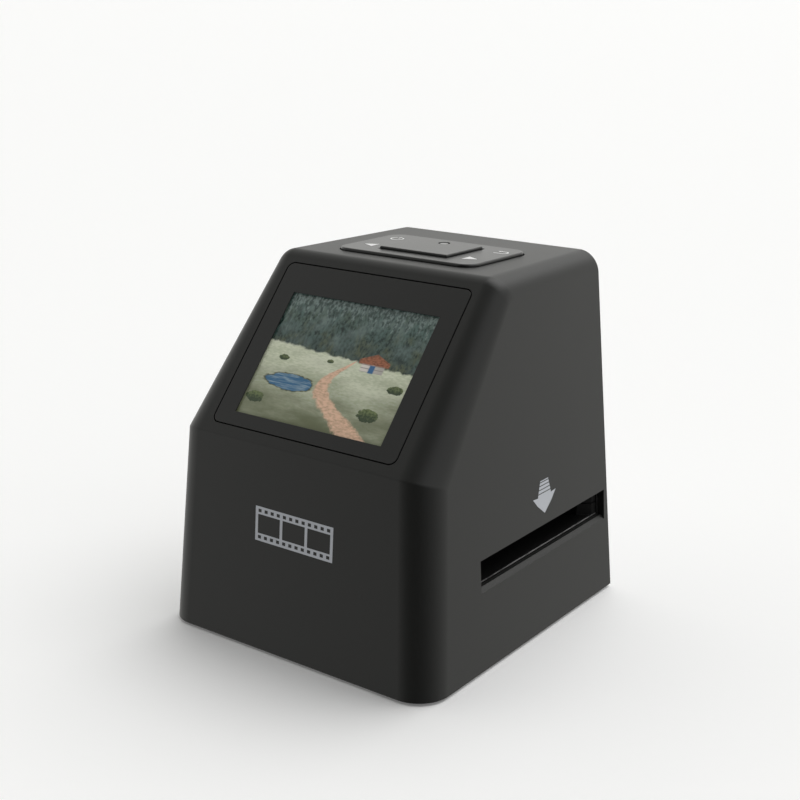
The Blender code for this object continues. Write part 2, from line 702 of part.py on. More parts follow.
def link_mesh(name, pieces, collection, parent, origin):
    """One object from pieces given in the parent's frame, with its origin there or in their middle."""
    bm = bmesh.new()
    for piece in pieces:
        scratch = bpy.data.meshes.new("scratch")
        piece.to_mesh(scratch)
        piece.free()
        bm.from_mesh(scratch)
        bpy.data.meshes.remove(scratch)
    if origin is None:
        low = [min(vert.co[k] for vert in bm.verts) for k in range(3)]
        high = [max(vert.co[k] for vert in bm.verts) for k in range(3)]
        origin = [(a + b) / 2 for a, b in zip(low, high)]
    bmesh.ops.translate(bm, vec=-Vector(origin), verts=bm.verts)
    mesh = bpy.data.meshes.new(name)
    bm.to_mesh(mesh)
    bm.free()
    mesh.shade_smooth()
    mesh.set_sharp_from_angle(angle=math.radians(SMOOTH_DEGREES))
    obj = bpy.data.objects.new(name, mesh)
    collection.objects.link(obj)
    obj.parent = parent
    obj.location = origin
    return obj


def finish_material(name, finish):
    colour, roughness, metallic = FINISHES[finish]
    material = bpy.data.materials.new(name)
    material.use_nodes = True
    shader = material.node_tree.nodes["Principled BSDF"]
    shader.inputs["Base Color"].default_value = (*colour, 1)
    shader.inputs["Roughness"].default_value = roughness
    shader.inputs["Metallic"].default_value = metallic
    return material


def solid(name, finish, *pieces, parent=BODY, origin=None):
    obj = link_mesh(name, pieces, PARTS, parent, origin)
    obj.data.materials.append(finish_material(name, finish))
    return obj


def combine(obj, operation, pieces, parent):
    """Adds a Boolean with a hidden helper, which is given in its own parent's frame."""
    name = f"{obj.name}_{operation.lower()}_{len(obj.modifiers)}"
    helper = link_mesh(name, pieces, CUTTERS, parent or obj.parent, None)
    helper.hide_render = True
    helper.display_type = "WIRE"
    modifier = obj.modifiers.new(name, "BOOLEAN")
    modifier.operation = operation
    modifier.object = helper


def fuse(obj, *pieces, parent=None):
    combine(obj, "UNION", pieces, parent)


def cut(obj, *pieces, parent=None):
    combine(obj, "DIFFERENCE", pieces, parent)


def trim(obj, *pieces, parent=None):
    combine(obj, "INTERSECT", pieces, parent)


# Places that more than one piece uses


def base_post_places():
    front = front_y(0) + BASE_POST_FROM_FRONT
    back = back_y(0) - BASE_POST_FROM_BACK
    return mirrored([(side_x(y, 0) - BASE_POST_FROM_SIDE, y) for y in (front, back)])


def foot_places():
    front = front_y(0) + FOOT_FROM_FRONT
    back = back_y(0) - FOOT_FROM_BACK
    return mirrored([(side_x(y, 0) - FOOT_FROM_SIDE, y) for y in (front, back)])


def guide_post_places():
    return mirrored([(GUIDE_POST_X, SLOT_CENTRE_Y + end * RAIL_FROM_CENTRE) for end in (-1, 1)])


def rear_boss_places():
    """(x, height) in the rear frame."""
    return mirrored([(side_x(back_y(z), z) - REAR_BOSS_FROM_SIDE, z) for z in REAR_BOSS_HEIGHTS])


def top_boss_places():
    return mirrored([(TOP_BOSS_X, PAD_CENTRE_Y + end * TOP_BOSS_FROM_PAD) for end in (-1, 1)])


def carrier_screw_places():
    return mirrored([(CARRIER_SCREW_X, PAD_CENTRE_Y)])


def lcd_post_places():
    """(x, rise) in the slope frame."""
    return mirrored([(BRACKET_SCREW_X, WINDOW_CENTRE + end * BRACKET_SCREW_RISE) for end in (-1, 1)])


def main_screw_places():
    """(y, z) on the main board."""
    ys = (MAIN_BOARD_FRONT_Y + MAIN_SCREW_INSET_Y, MAIN_BOARD_BACK_Y - MAIN_SCREW_INSET_Y)
    zs = (MAIN_BOARD_BOTTOM + MAIN_SCREW_INSET_Z, MAIN_BOARD_TOP - MAIN_SCREW_INSET_Z)
    return [(y, z) for y in ys for z in zs]


def chamber_screw_places():
    x = CHAMBER_FLANGE_WIDTH / 2 - CHAMBER_SCREW_INSET
    reach = CHAMBER_FLANGE_DEPTH / 2 - CHAMBER_SCREW_INSET
    return mirrored([(x, SLOT_CENTRE_Y + end * reach) for end in (-1, 1)])


def sensor_screw_places():
    return mirrored([(SENSOR_SCREW_PLACE, SLOT_CENTRE_Y + end * SENSOR_SCREW_PLACE) for end in (-1, 1)])


def switch_places():
    return mirrored([(SWITCH_X, PAD_CENTRE_Y + end * SWITCH_FROM_PAD) for end in (-1, 1)])


def wall_x(y, z):
    """The middle of the side wall's thickness, where a rib or boss ends."""
    return side_x(y, z, HOOD_WALL / 2)


# Casing


def make_hood():
    hood = solid("hood", "case", body_form())
    cut(hood, body_form(HOOD_WALL, -OVERRUN, -OVERRUN))
    fuse(hood, *hood_posts())
    fuse(hood, *rear_bosses(), parent=REAR)
    fuse(hood, *lcd_posts(), parent=SLOPE)
    cut(hood, *film_slot_cutters())
    cut(hood, pad_opening())
    cut(hood, *hood_pilot_holes())
    cut(hood, *rear_pilot_holes(), parent=REAR)
    cut(hood, panel_seat(), parent=SLOPE)
    cut(hood, lcd_opening(), *lcd_pilot_holes(), parent=SLOPE)


def hood_posts():
    """Screw posts for the base, bosses for the key board and bosses for the main board."""
    pieces = []
    bottom = BASE_THICKNESS + GAP
    top = bottom + BASE_POST_HEIGHT
    for x, y in base_post_places():
        side = math.copysign(1, x)
        wall = side * wall_x(y, (bottom + top) / 2)
        outline = [(x, y - RIB_THICKNESS / 2), (wall, y - RIB_THICKNESS / 2)]
        outline += [(wall, y + RIB_THICKNESS / 2), (x, y + RIB_THICKNESS / 2)]
        post = rod(BASE_POST_RADIUS, (x, y, bottom), (x, y, top))
        pieces.append(joined(post, prism(outline, bottom + RIB_STEP, top - RIB_STEP)))
    for x, y in top_boss_places():
        pieces.append(rod(TOP_BOSS_RADIUS, (x, y, KEY_BOARD_TOP + GAP), (x, y, HOOD_CEILING + BITE)))
    for y, z in main_screw_places():
        pieces.append(rod(MAIN_BOSS_RADIUS, (-wall_x(y, z), y, z), (-MAIN_BOARD_OUTER_X - GAP, y, z)))
    return pieces


def joined(first, *others):
    """The union of pieces, as one bmesh."""
    base = link_mesh("joined_base", [first], CUTTERS, None, (0, 0, 0))
    for other in others:
        fuse(base, other)
    bpy.context.view_layer.update()
    graph = bpy.context.evaluated_depsgraph_get()
    mesh = bpy.data.meshes.new_from_object(base.evaluated_get(graph))
    piece = bmesh.new()
    piece.from_mesh(mesh)
    bpy.data.meshes.remove(mesh)
    for modifier in base.modifiers:
        bpy.data.objects.remove(modifier.object)
    bpy.data.objects.remove(base)
    return piece


def rear_bosses():
    pieces = []
    for x, height in rear_boss_places():
        start, end = -INSIDE, -INSIDE - REAR_BOSS_LENGTH
        wall = math.copysign(wall_x(back_y(height) - INSIDE, height), x)
        boss = rod(REAR_BOSS_RADIUS, (x, end, height), (x, start, height))
        low = (min(x, wall), end + RIB_STEP, height - RIB_THICKNESS / 2)
        high = (max(x, wall), start - RIB_STEP, height + RIB_THICKNESS / 2)
        pieces.append(joined(boss, box(low, high)))
    return pieces


def lcd_posts():
    top, bottom = BITE - HOOD_WALL, GAP - BRACKET_FRONT
    return [rod(LCD_POST_RADIUS, (x, rise, bottom), (x, rise, top)) for x, rise in lcd_post_places()]


def film_slot_cutters():
    """The slot through both side walls, with the chamfer under its lower edge."""
    slot_top = SLOT_FLOOR + SLOT_HEIGHT
    width = BASE_FRONT_WIDTH + 2 * OVERRUN
    return [joined(slab(0, SLOT_CENTRE_Y, SLOT_FLOOR, slot_top, width, SLOT_LENGTH), *lead_ins())]


def lead_ins():
    pieces = []
    back = SLOT_CENTRE_Y + SLOT_LENGTH / 2
    front = SLOT_CENTRE_Y - SLOT_LENGTH / 2
    for side in (-1, 1):
        piece = bmesh.new()
        ends = []
        for y in (front, back):
            outer = side_x(y, SLOT_FLOOR)
            points = (
                (outer - SLOT_LEAD_IN, SLOT_FLOOR + BITE),
                (outer - SLOT_LEAD_IN, SLOT_FLOOR),
                (outer, SLOT_FLOOR - SLOT_LEAD_IN),
                (outer + OVERRUN, SLOT_FLOOR - SLOT_LEAD_IN),
                (outer + OVERRUN, SLOT_FLOOR + BITE),
            )
            ends.append([piece.verts.new((side * x, y, z)) for x, z in points])
        near, far = ends
        for k in range(len(near)):
            following = (k + 1) % len(near)
            piece.faces.new((near[k], near[following], far[following], far[k]))
        piece.faces.new(near)
        piece.faces.new(far)
        bmesh.ops.recalc_face_normals(piece, faces=piece.faces)
        pieces.append(piece)
    return pieces


def pad_opening():
    width = PAD_WIDTH + 2 * PAD_SIDE_GAP
    depth = PAD_DEPTH + 2 * PAD_SIDE_GAP
    bottom, top = HOOD_CEILING - OVERRUN, BODY_HEIGHT + OVERRUN
    return soft_slab(0, PAD_CENTRE_Y, bottom, top, width, depth, PAD_CORNER_RADIUS + PAD_SIDE_GAP)


def hood_pilot_holes():
    bottom = BASE_THICKNESS + GAP
    depth = CASE_SCREW_LENGTH - BASE_THICKNESS + SCREW_POCKET_DEPTH + SCREW_TIP_ROOM
    boss_bottom = KEY_BOARD_TOP + GAP
    boss_hole_top = KEY_BOARD_BOTTOM + BOARD_SCREW_LENGTH + SCREW_TIP_ROOM
    base_holes = upright_holes(base_post_places(), bottom - OVERRUN, bottom + depth)
    return base_holes + upright_holes(top_boss_places(), boss_bottom - OVERRUN, boss_hole_top)


def rear_pilot_holes():
    reach = HOOD_WALL - SCREW_POCKET_DEPTH + CASE_SCREW_LENGTH + SCREW_TIP_ROOM
    return [screw_hole((x, -reach, height), (x, 0, height)) for x, height in rear_boss_places()]


def panel_seat():
    width = PANEL_WIDTH + 2 * PANEL_EDGE_GAP
    height = PANEL_HEIGHT + 2 * PANEL_EDGE_GAP
    radius = PANEL_CORNER_RADIUS + PANEL_EDGE_GAP
    return soft_slab(0, PANEL_CENTRE, -PANEL_BACK, OVERRUN, width, height, radius)


def lcd_opening():
    width = LCD_WIDTH + 2 * LCD_SIDE_GAP
    height = LCD_HEIGHT + 2 * LCD_SIDE_GAP
    return slab(0, WINDOW_CENTRE, -HOOD_WALL - OVERRUN, 0, width, height)


def lcd_pilot_holes():
    return upright_holes(lcd_post_places(), -BRACKET_FRONT, -HOOD_WALL)


def make_rear_cover():
    """A plate inside the hood's open back, flush with its edges."""
    cover = solid("rear_cover", "case", body_form(INSIDE, BASE_THICKNESS + GAP))
    reach = BASE_FRONT_WIDTH
    cut(cover, box((-reach, -BASE_DEPTH, -reach), (reach, -HOOD_WALL, BODY_HEIGHT + reach)), parent=REAR)
    places = rear_boss_places()
    pockets = [rod(SCREW_POCKET_RADIUS, (x, -SCREW_POCKET_DEPTH, z), (x, OVERRUN, z)) for x, z in places]
    holes = [screw_hole((x, -HOOD_WALL - OVERRUN, z), (x, 0, z)) for x, z in places]
    cut(cover, *pockets, parent=REAR)
    cut(cover, *holes, parent=REAR)
    cut(cover, card_opening(), usb_opening())


def card_opening():
    low = (COMPONENT_X - GAP, 0, CARD_MIDDLE_HEIGHT - CARD_HEIGHT / 2)
    high = (COMPONENT_X + CARD_THICKNESS, BASE_DEPTH, CARD_MIDDLE_HEIGHT + CARD_HEIGHT / 2)
    return box(low, high)


def usb_opening():
    reach = USB_HEIGHT / 2 + GAP
    low = (COMPONENT_X - GAP, 0, USB_MIDDLE_HEIGHT - reach)
    high = (COMPONENT_X + USB_THICKNESS + GAP, BASE_DEPTH, USB_MIDDLE_HEIGHT + reach)
    return box(low, high)


def make_base_plate():
    base = solid("base_plate", "case", body_form(INSIDE))
    reach = BASE_FRONT_WIDTH + BASE_DEPTH
    cut(base, box((-reach, -reach, BASE_THICKNESS), (reach, reach, BODY_HEIGHT + OVERRUN)))
    top = GUIDE_BOTTOM - GAP
    bottom = BASE_THICKNESS - BITE
    fuse(base, *[rod(GUIDE_POST_RADIUS, (x, y, bottom), (x, y, top)) for x, y in guide_post_places()])
    hole_bottom = GUIDE_TOP + GAP - CHANNEL_SCREW_LENGTH - SCREW_TIP_ROOM
    holes = upright_holes(guide_post_places(), hole_bottom, top + OVERRUN)
    foot_pocket = FOOT_HEIGHT - FOOT_STAND + GAP
    pockets = [rod(FOOT_RADIUS + GAP, (x, y, -OVERRUN), (x, y, foot_pocket)) for x, y in foot_places()]
    places = base_post_places()
    heads = [rod(SCREW_POCKET_RADIUS, (x, y, -OVERRUN), (x, y, SCREW_POCKET_DEPTH)) for x, y in places]
    cut(base, *holes, *pockets, *heads)
    cut(base, *upright_holes(places, 0, BASE_THICKNESS + OVERRUN))


def make_feet():
    profile = (
        (0, -FOOT_STAND),
        (FOOT_RADIUS - FOOT_EDGE, -FOOT_STAND),
        (FOOT_RADIUS, FOOT_EDGE - FOOT_STAND),
        (FOOT_RADIUS, FOOT_HEIGHT - FOOT_STAND),
        (0, FOOT_HEIGHT - FOOT_STAND),
    )
    for corner, (x, y) in zip(CORNERS, foot_places()):
        solid(f"foot_{corner}", "rubber", turned(profile, (x, y, 0), (0, 0, 1)))


def make_case_screws():
    seat = SCREW_POCKET_DEPTH - GAP
    for corner, (x, y) in zip(CORNERS, base_post_places()):
        solid(f"base_screw_{corner}", "steel", screw((x, y, seat), (0, 0, 1), CASE_SCREW_LENGTH))
    for corner, (x, z) in zip(REAR_CORNERS, rear_boss_places()):
        rear_screw = screw((x, -seat, z), (0, -1, 0), CASE_SCREW_LENGTH)
        solid(f"rear_screw_{corner}", "steel", rear_screw, parent=REAR)


# Screen


def make_screen():
    panel = solid(
        "screen_panel",
        "panel",
        soft_slab(0, PANEL_CENTRE, -PANEL_THICKNESS, 0, PANEL_WIDTH, PANEL_HEIGHT, PANEL_CORNER_RADIUS),
        parent=SLOPE,
    )
    cut(panel, slab(0, WINDOW_CENTRE, -PANEL_THICKNESS - OVERRUN, OVERRUN, WINDOW_WIDTH, WINDOW_HEIGHT))
    pocket_width = LCD_WIDTH + 2 * LCD_SIDE_GAP
    pocket_height = LCD_HEIGHT + 2 * LCD_SIDE_GAP
    cut(panel, slab(0, WINDOW_CENTRE, -PANEL_THICKNESS - OVERRUN, -BEZEL_LIP, pocket_width, pocket_height))
    glass = slab(0, WINDOW_CENTRE, -LCD_BACK, -LCD_FRONT, LCD_WIDTH, LCD_HEIGHT)
    solid("lcd_glass", "picture", glass, parent=SLOPE)
    backlight = solid(
        "lcd_backlight",
        "white_plastic",
        slab(0, WINDOW_CENTRE, -BACKLIGHT_BACK, -BACKLIGHT_FRONT, BACKLIGHT_WIDTH, BACKLIGHT_HEIGHT),
        parent=SLOPE,
    )
    fuse(backlight, slab(0, WINDOW_CENTRE, -BACKLIGHT_FRONT - BITE, -LCD_BACK - GAP, LCD_WIDTH, LCD_HEIGHT))


def make_lcd_bracket():
    bracket = solid(
        "lcd_bracket",
        "steel",
        slab(0, WINDOW_CENTRE, -BRACKET_BACK, -BRACKET_FRONT, BRACKET_WIDTH, BRACKET_HEIGHT),
        parent=SLOPE,
    )
    bottom, top = -BRACKET_BACK - OVERRUN, OVERRUN - BRACKET_FRONT
    window = slab(0, WINDOW_CENTRE, bottom, top, BRACKET_WINDOW_WIDTH, BRACKET_WINDOW_HEIGHT)
    notch_x = -FLEX_X + OVERRUN / 2 - BRACKET_WIDTH / 2
    notch = slab(notch_x, WINDOW_CENTRE, bottom, top, BRACKET_WIDTH, FLEX_WIDTH + OVERRUN)
    cut(bracket, window, notch, *upright_holes(lcd_post_places(), bottom, top))


def make_lcd_flex():
    x = -FLEX_X - FLEX_THICKNESS / 2
    flex = slab(x, WINDOW_CENTRE, -FLEX_END, -FLEX_START, FLEX_THICKNESS, FLEX_WIDTH)
    solid("lcd_flex_cable", "film_cable", flex, parent=SLOPE)


# Keys


def make_rocker_plate():
    width, depth = PAD_WIDTH, PAD_DEPTH
    flange_width = width + 2 * PAD_SIDE_GAP + 2 * PAD_FLANGE
    flange_depth = depth + 2 * PAD_SIDE_GAP + 2 * PAD_FLANGE
    pivot = ROCKER_PIVOT.location
    lower = -pivot.z
    plate = solid(
        "rocker_plate",
        "key",
        soft_slab(0, 0, PAD_FLANGE_BOTTOM + lower, PAD_TOP + lower, width, depth, PAD_CORNER_RADIUS),
        parent=ROCKER_PIVOT,
        origin=(0, 0, 0),
    )
    flange_radius = PAD_CORNER_RADIUS + PAD_SIDE_GAP + PAD_FLANGE
    flange = soft_slab(
        0, 0, PAD_FLANGE_BOTTOM + lower, PAD_FLANGE_TOP + lower, flange_width, flange_depth, flange_radius
    )
    fuse(plate, flange)
    inner_width = width - 2 * PAD_SKIRT
    inner_depth = depth - 2 * PAD_SKIRT
    inner_radius = PAD_CORNER_RADIUS - PAD_SKIRT
    cut(plate, soft_slab(0, 0, lower, PAD_UNDERSIDE + lower, inner_width, inner_depth, inner_radius))
    fuse(plate, *rocker_ears(), *rocker_pushers())
    key_y = KEY_CENTRE_Y - PAD_CENTRE_Y
    key_hole_width = KEY_WIDTH + 2 * PAD_SIDE_GAP
    key_hole_depth = KEY_DEPTH + 2 * PAD_SIDE_GAP
    pin_hole = rod(PIVOT_PIN_RADIUS + GAP, (0, -PAD_DEPTH, 0), (0, PAD_DEPTH, 0), SCREW_SIDES)
    low, high = PAD_UNDERSIDE + lower - BITE, PAD_TOP + lower + OVERRUN
    cut(plate, slab(0, key_y, low, high, key_hole_width, key_hole_depth))
    cut(plate, pin_hole)


def rocker_ears():
    top = PAD_UNDERSIDE + BITE / 2 - PIVOT_HEIGHT
    middle = EAR_START + EAR_THICKNESS / 2
    return [slab(0, end * middle, -EAR_BELOW_PIVOT, top, EAR_WIDTH, EAR_THICKNESS) for end in (-1, 1)]


def rocker_pushers():
    bottom, top = PUSHER_BOTTOM - PIVOT_HEIGHT, PAD_UNDERSIDE + BITE / 2 - PIVOT_HEIGHT
    pieces = []
    for x, y in switch_places():
        y -= PAD_CENTRE_Y
        pieces.append(rod(SWITCH_BUTTON_RADIUS, (x, y, bottom), (x, y, top), SCREW_SIDES))
    return pieces


def make_rocker_ring():
    half = RING_HEIGHT / 2
    ring = solid(
        "rocker_ring",
        "inner_case",
        slab(0, 0, -half, half, RING_WIDTH, RING_DEPTH),
        parent=ROCKER_PIVOT,
        origin=(0, 0, 0),
    )
    x = RING_WIDTH / 2 + PIVOT_PIN_LENGTH
    y = EAR_START + x - FORK_START
    side_pins = rod(PIVOT_PIN_RADIUS, (-x, 0, 0), (x, 0, 0), SCREW_SIDES)
    end_pins = rod(PIVOT_PIN_RADIUS, (0, -y, 0), (0, y, 0), SCREW_SIDES)
    fuse(ring, side_pins)
    fuse(ring, end_pins)
    inner_width = RING_WIDTH - 2 * RING_SIDE_BAR
    inner_depth = RING_DEPTH - 2 * RING_END_BAR
    cut(ring, slab(0, 0, -RING_HEIGHT, RING_HEIGHT, inner_width, inner_depth))


def make_key_carrier():
    """A fixed strip on the key board that holds the ring's pins, the centre key's stem and the light pipe."""
    carrier = solid(
        "key_carrier",
        "inner_case",
        slab(0, PAD_CENTRE_Y, CARRIER_BOTTOM, CARRIER_TOP, CARRIER_WIDTH, CARRIER_DEPTH),
    )
    fork_x = FORK_START + FORK_THICKNESS / 2
    fork_top = PIVOT_HEIGHT + FORK_ABOVE_PIVOT
    fork_bottom = CARRIER_TOP - BITE
    forks = [
        slab(side * fork_x, PAD_CENTRE_Y, fork_bottom, fork_top, FORK_THICKNESS, FORK_WIDTH)
        for side in (-1, 1)
    ]
    collar = slab(0, PAD_CENTRE_Y, CARRIER_TOP - BITE, COLLAR_TOP, COLLAR_SIZE, COLLAR_SIZE)
    arm_end = (LIGHT_ARM_WIDTH / 2, LIGHT_Y + LIGHT_ARM_REACH, CARRIER_TOP)
    arm = box((-LIGHT_ARM_WIDTH / 2, PAD_CENTRE_Y, CARRIER_BOTTOM), arm_end)
    fuse(carrier, *forks, collar)
    fuse(carrier, arm)
    guide = KEY_STEM_SIZE + 2 * GAP
    low, high = CARRIER_BOTTOM - OVERRUN, COLLAR_TOP + OVERRUN
    pin_reach = FORK_START + FORK_THICKNESS + OVERRUN
    pins = [
        rod(
            PIVOT_PIN_RADIUS + GAP,
            (side * RING_WIDTH / 2, PAD_CENTRE_Y, PIVOT_HEIGHT),
            (side * pin_reach, PAD_CENTRE_Y, PIVOT_HEIGHT),
            SCREW_SIDES,
        )
        for side in (-1, 1)
    ]
    cut(carrier, slab(0, PAD_CENTRE_Y, low, high, guide, guide), *pins)
    holes = [rod(LIGHT_PIPE_RADIUS + GAP, (0, LIGHT_Y, low), (0, LIGHT_Y, high))]
    hole_top = KEY_BOARD_BOTTOM + SHORT_SCREW_LENGTH + SCREW_TIP_ROOM / 2
    cut(carrier, *holes, *upright_holes(carrier_screw_places(), low, hole_top))


def make_centre_key():
    key = solid(
        "centre_key",
        "key",
        soft_slab(0, KEY_CENTRE_Y, KEY_BOTTOM, KEY_TOP, KEY_WIDTH, KEY_DEPTH, KEY_EDGE_RADIUS, 2),
        origin=(0, PAD_CENTRE_Y, KEY_TOP),
    )
    flange_width = KEY_WIDTH + 2 * KEY_FLANGE
    flange_top = KEY_BOTTOM + KEY_FLANGE_THICKNESS
    flange_depth = KEY_DEPTH - 2 * KEY_EDGE_RADIUS
    fuse(key, slab(0, KEY_CENTRE_Y, KEY_BOTTOM, flange_top, flange_width, flange_depth))
    inner_width = KEY_WIDTH - 2 * KEY_WALL
    inner_depth = KEY_DEPTH - 2 * KEY_WALL
    cut(key, slab(0, KEY_CENTRE_Y, KEY_BOTTOM - OVERRUN, KEY_TOP - KEY_WALL, inner_width, inner_depth))
    stem_top = KEY_TOP - KEY_WALL / 2
    fuse(key, slab(0, PAD_CENTRE_Y, STEM_BOTTOM, stem_top, KEY_STEM_SIZE, KEY_STEM_SIZE))
    low, high = KEY_BOTTOM - OVERRUN, KEY_TOP + OVERRUN
    cut(key, rod(LIGHT_HOLE_RADIUS, (0, LIGHT_Y, low), (0, LIGHT_Y, high)))


def make_light_pipe():
    collar_bottom = CARRIER_TOP + GAP
    profile = (
        (0, CARRIER_BOTTOM + STATUS_LED_HEIGHT + GAP),
        (LIGHT_PIPE_RADIUS, CARRIER_BOTTOM + STATUS_LED_HEIGHT + GAP),
        (LIGHT_PIPE_RADIUS, collar_bottom),
        (LIGHT_PIPE_RADIUS + LIGHT_PIPE_COLLAR, collar_bottom),
        (LIGHT_PIPE_RADIUS + LIGHT_PIPE_COLLAR, collar_bottom + LIGHT_PIPE_COLLAR),
        (LIGHT_PIPE_RADIUS, collar_bottom + LIGHT_PIPE_COLLAR),
        (LIGHT_PIPE_RADIUS, KEY_TOP - LIGHT_PIPE_SINK),
        (0, KEY_TOP - LIGHT_PIPE_SINK),
    )
    solid("led_light_pipe", "clear", turned(profile, (0, LIGHT_Y, 0), (0, 0, 1)))


def make_key_board():
    board = solid(
        "key_board",
        "board",
        slab(0, PAD_CENTRE_Y, KEY_BOARD_BOTTOM, KEY_BOARD_TOP, KEY_BOARD_WIDTH, KEY_BOARD_DEPTH),
    )
    low, high = KEY_BOARD_BOTTOM - OVERRUN, KEY_BOARD_TOP + OVERRUN
    cut(board, *upright_holes(top_boss_places() + carrier_screw_places(), low, high))
    bottom = KEY_BOARD_TOP - BITE
    bodies = [slab(x, y, bottom, SWITCH_TOP, SWITCH_SIZE, SWITCH_SIZE) for x, y in switch_places()]
    button_bottom, button_top = SWITCH_TOP - BITE, SWITCH_TOP + SWITCH_BUTTON_HEIGHT
    ends = [((x, y, button_bottom), (x, y, button_top)) for x, y in switch_places()]
    buttons = [rod(SWITCH_BUTTON_RADIUS, low_end, high_end, SCREW_SIDES) for low_end, high_end in ends]
    fuse(board, *bodies)
    fuse(board, *buttons)


def make_centre_switch():
    size = SWITCH_SIZE - 2 * GAP
    switch = solid("centre_switch", "chip", slab(0, PAD_CENTRE_Y, SWITCH_BOTTOM, SWITCH_TOP, size, size))
    bore_bottom = SWITCH_TOP - PLUNGER_BORE_DEPTH
    bore = rod(PLUNGER_RADIUS + GAP, (0, PAD_CENTRE_Y, bore_bottom), (0, PAD_CENTRE_Y, SWITCH_TOP + OVERRUN))
    cut(switch, bore)
    plunger = rod(PLUNGER_RADIUS, (0, PAD_CENTRE_Y, PLUNGER_BOTTOM), (0, PAD_CENTRE_Y, PLUNGER_TOP))
    solid("centre_switch_plunger", "white_plastic", plunger, origin=(0, PAD_CENTRE_Y, PLUNGER_BOTTOM))
    led_top = SWITCH_BOTTOM + STATUS_LED_HEIGHT
    solid("status_led", "clear", slab(0, LIGHT_Y, SWITCH_BOTTOM, led_top, STATUS_LED_SIZE, STATUS_LED_SIZE))


def make_key_cable():
    x = COMPONENT_X + CONNECTOR_THICKNESS / 2
    bottom = MAIN_BOARD_TOP - CONNECTOR_DEPTH + GAP
    top = KEY_BOARD_BOTTOM - GAP
    cable = slab(x, KEY_CABLE_Y, bottom, top, FLEX_THICKNESS, KEY_CABLE_WIDTH)
    solid("key_cable", "film_cable", cable)


# Film channel


def rail_outline(end, inset):
    """The plan of a film rail: end is -1 in front and 1 behind, with its ends flared for the film holder."""
    outer = SLOT_CENTRE_Y + end * GUIDE_LENGTH / 2
    inner = SLOT_CENTRE_Y + end * CHANNEL_WIDTH / 2
    flared = inner + end * RAIL_LEAD_IN
    x = side_x(inner, CHANNEL_FLOOR, inset)
    right_end = [(x - RAIL_LEAD_IN, inner), (x, flared), (x, outer)]
    return [(-px, py) for px, py in right_end[::-1]] + right_end


def make_film_guides():
    reach = BASE_FRONT_WIDTH
    lower = solid(
        "film_guide_lower",
        "inner_case",
        slab(0, SLOT_CENTRE_Y, GUIDE_BOTTOM, CHANNEL_FLOOR, reach, GUIDE_LENGTH),
    )
    upper = solid(
        "film_guide_upper",
        "inner_case",
        slab(0, SLOT_CENTRE_Y, CHANNEL_CEILING, GUIDE_TOP, reach, GUIDE_LENGTH),
    )
    outlines = [rail_outline(end, INSIDE) for end in (-1, 1)]
    lower_top, upper_bottom = CHANNEL_FLOOR + RAIL_HEIGHT, CHANNEL_CEILING - RAIL_HEIGHT
    lower_rails = [prism(outline, CHANNEL_FLOOR - BITE, lower_top) for outline in outlines]
    upper_rails = [prism(outline, upper_bottom, CHANNEL_CEILING + BITE) for outline in outlines]
    detent_tube = rod(DETENT_TUBE_OUTER, (0, DETENT_Y, GUIDE_TOP - BITE), (0, DETENT_Y, DETENT_TUBE_TOP))
    fuse(lower, *lower_rails)
    fuse(upper, *upper_rails, detent_tube)
    for guide in (lower, upper):
        trim(guide, body_form(INSIDE))
        low, high = GUIDE_BOTTOM - OVERRUN, GUIDE_TOP + OVERRUN
        window = slab(0, SLOT_CENTRE_Y, low, high, FRAME_WIDTH, FRAME_DEPTH)
        cut(guide, window, *upright_holes(guide_post_places(), low, high))
    low, high = CHANNEL_CEILING - OVERRUN, GUIDE_TOP + OVERRUN
    stem_hole = rod(DETENT_RADIUS + GAP, (0, DETENT_Y, low), (0, DETENT_Y, high))
    cut(upper, *upright_holes(chamber_screw_places(), low, high), stem_hole)
    cut(upper, rod(DETENT_TUBE_INNER, (0, DETENT_Y, GUIDE_TOP), (0, DETENT_Y, DETENT_TUBE_TOP + OVERRUN)))
    seat = GUIDE_TOP + GAP
    for corner, (x, y) in zip(CORNERS, guide_post_places()):
        solid(f"channel_screw_{corner}", "steel", screw((x, y, seat), (0, 0, -1), CHANNEL_SCREW_LENGTH))


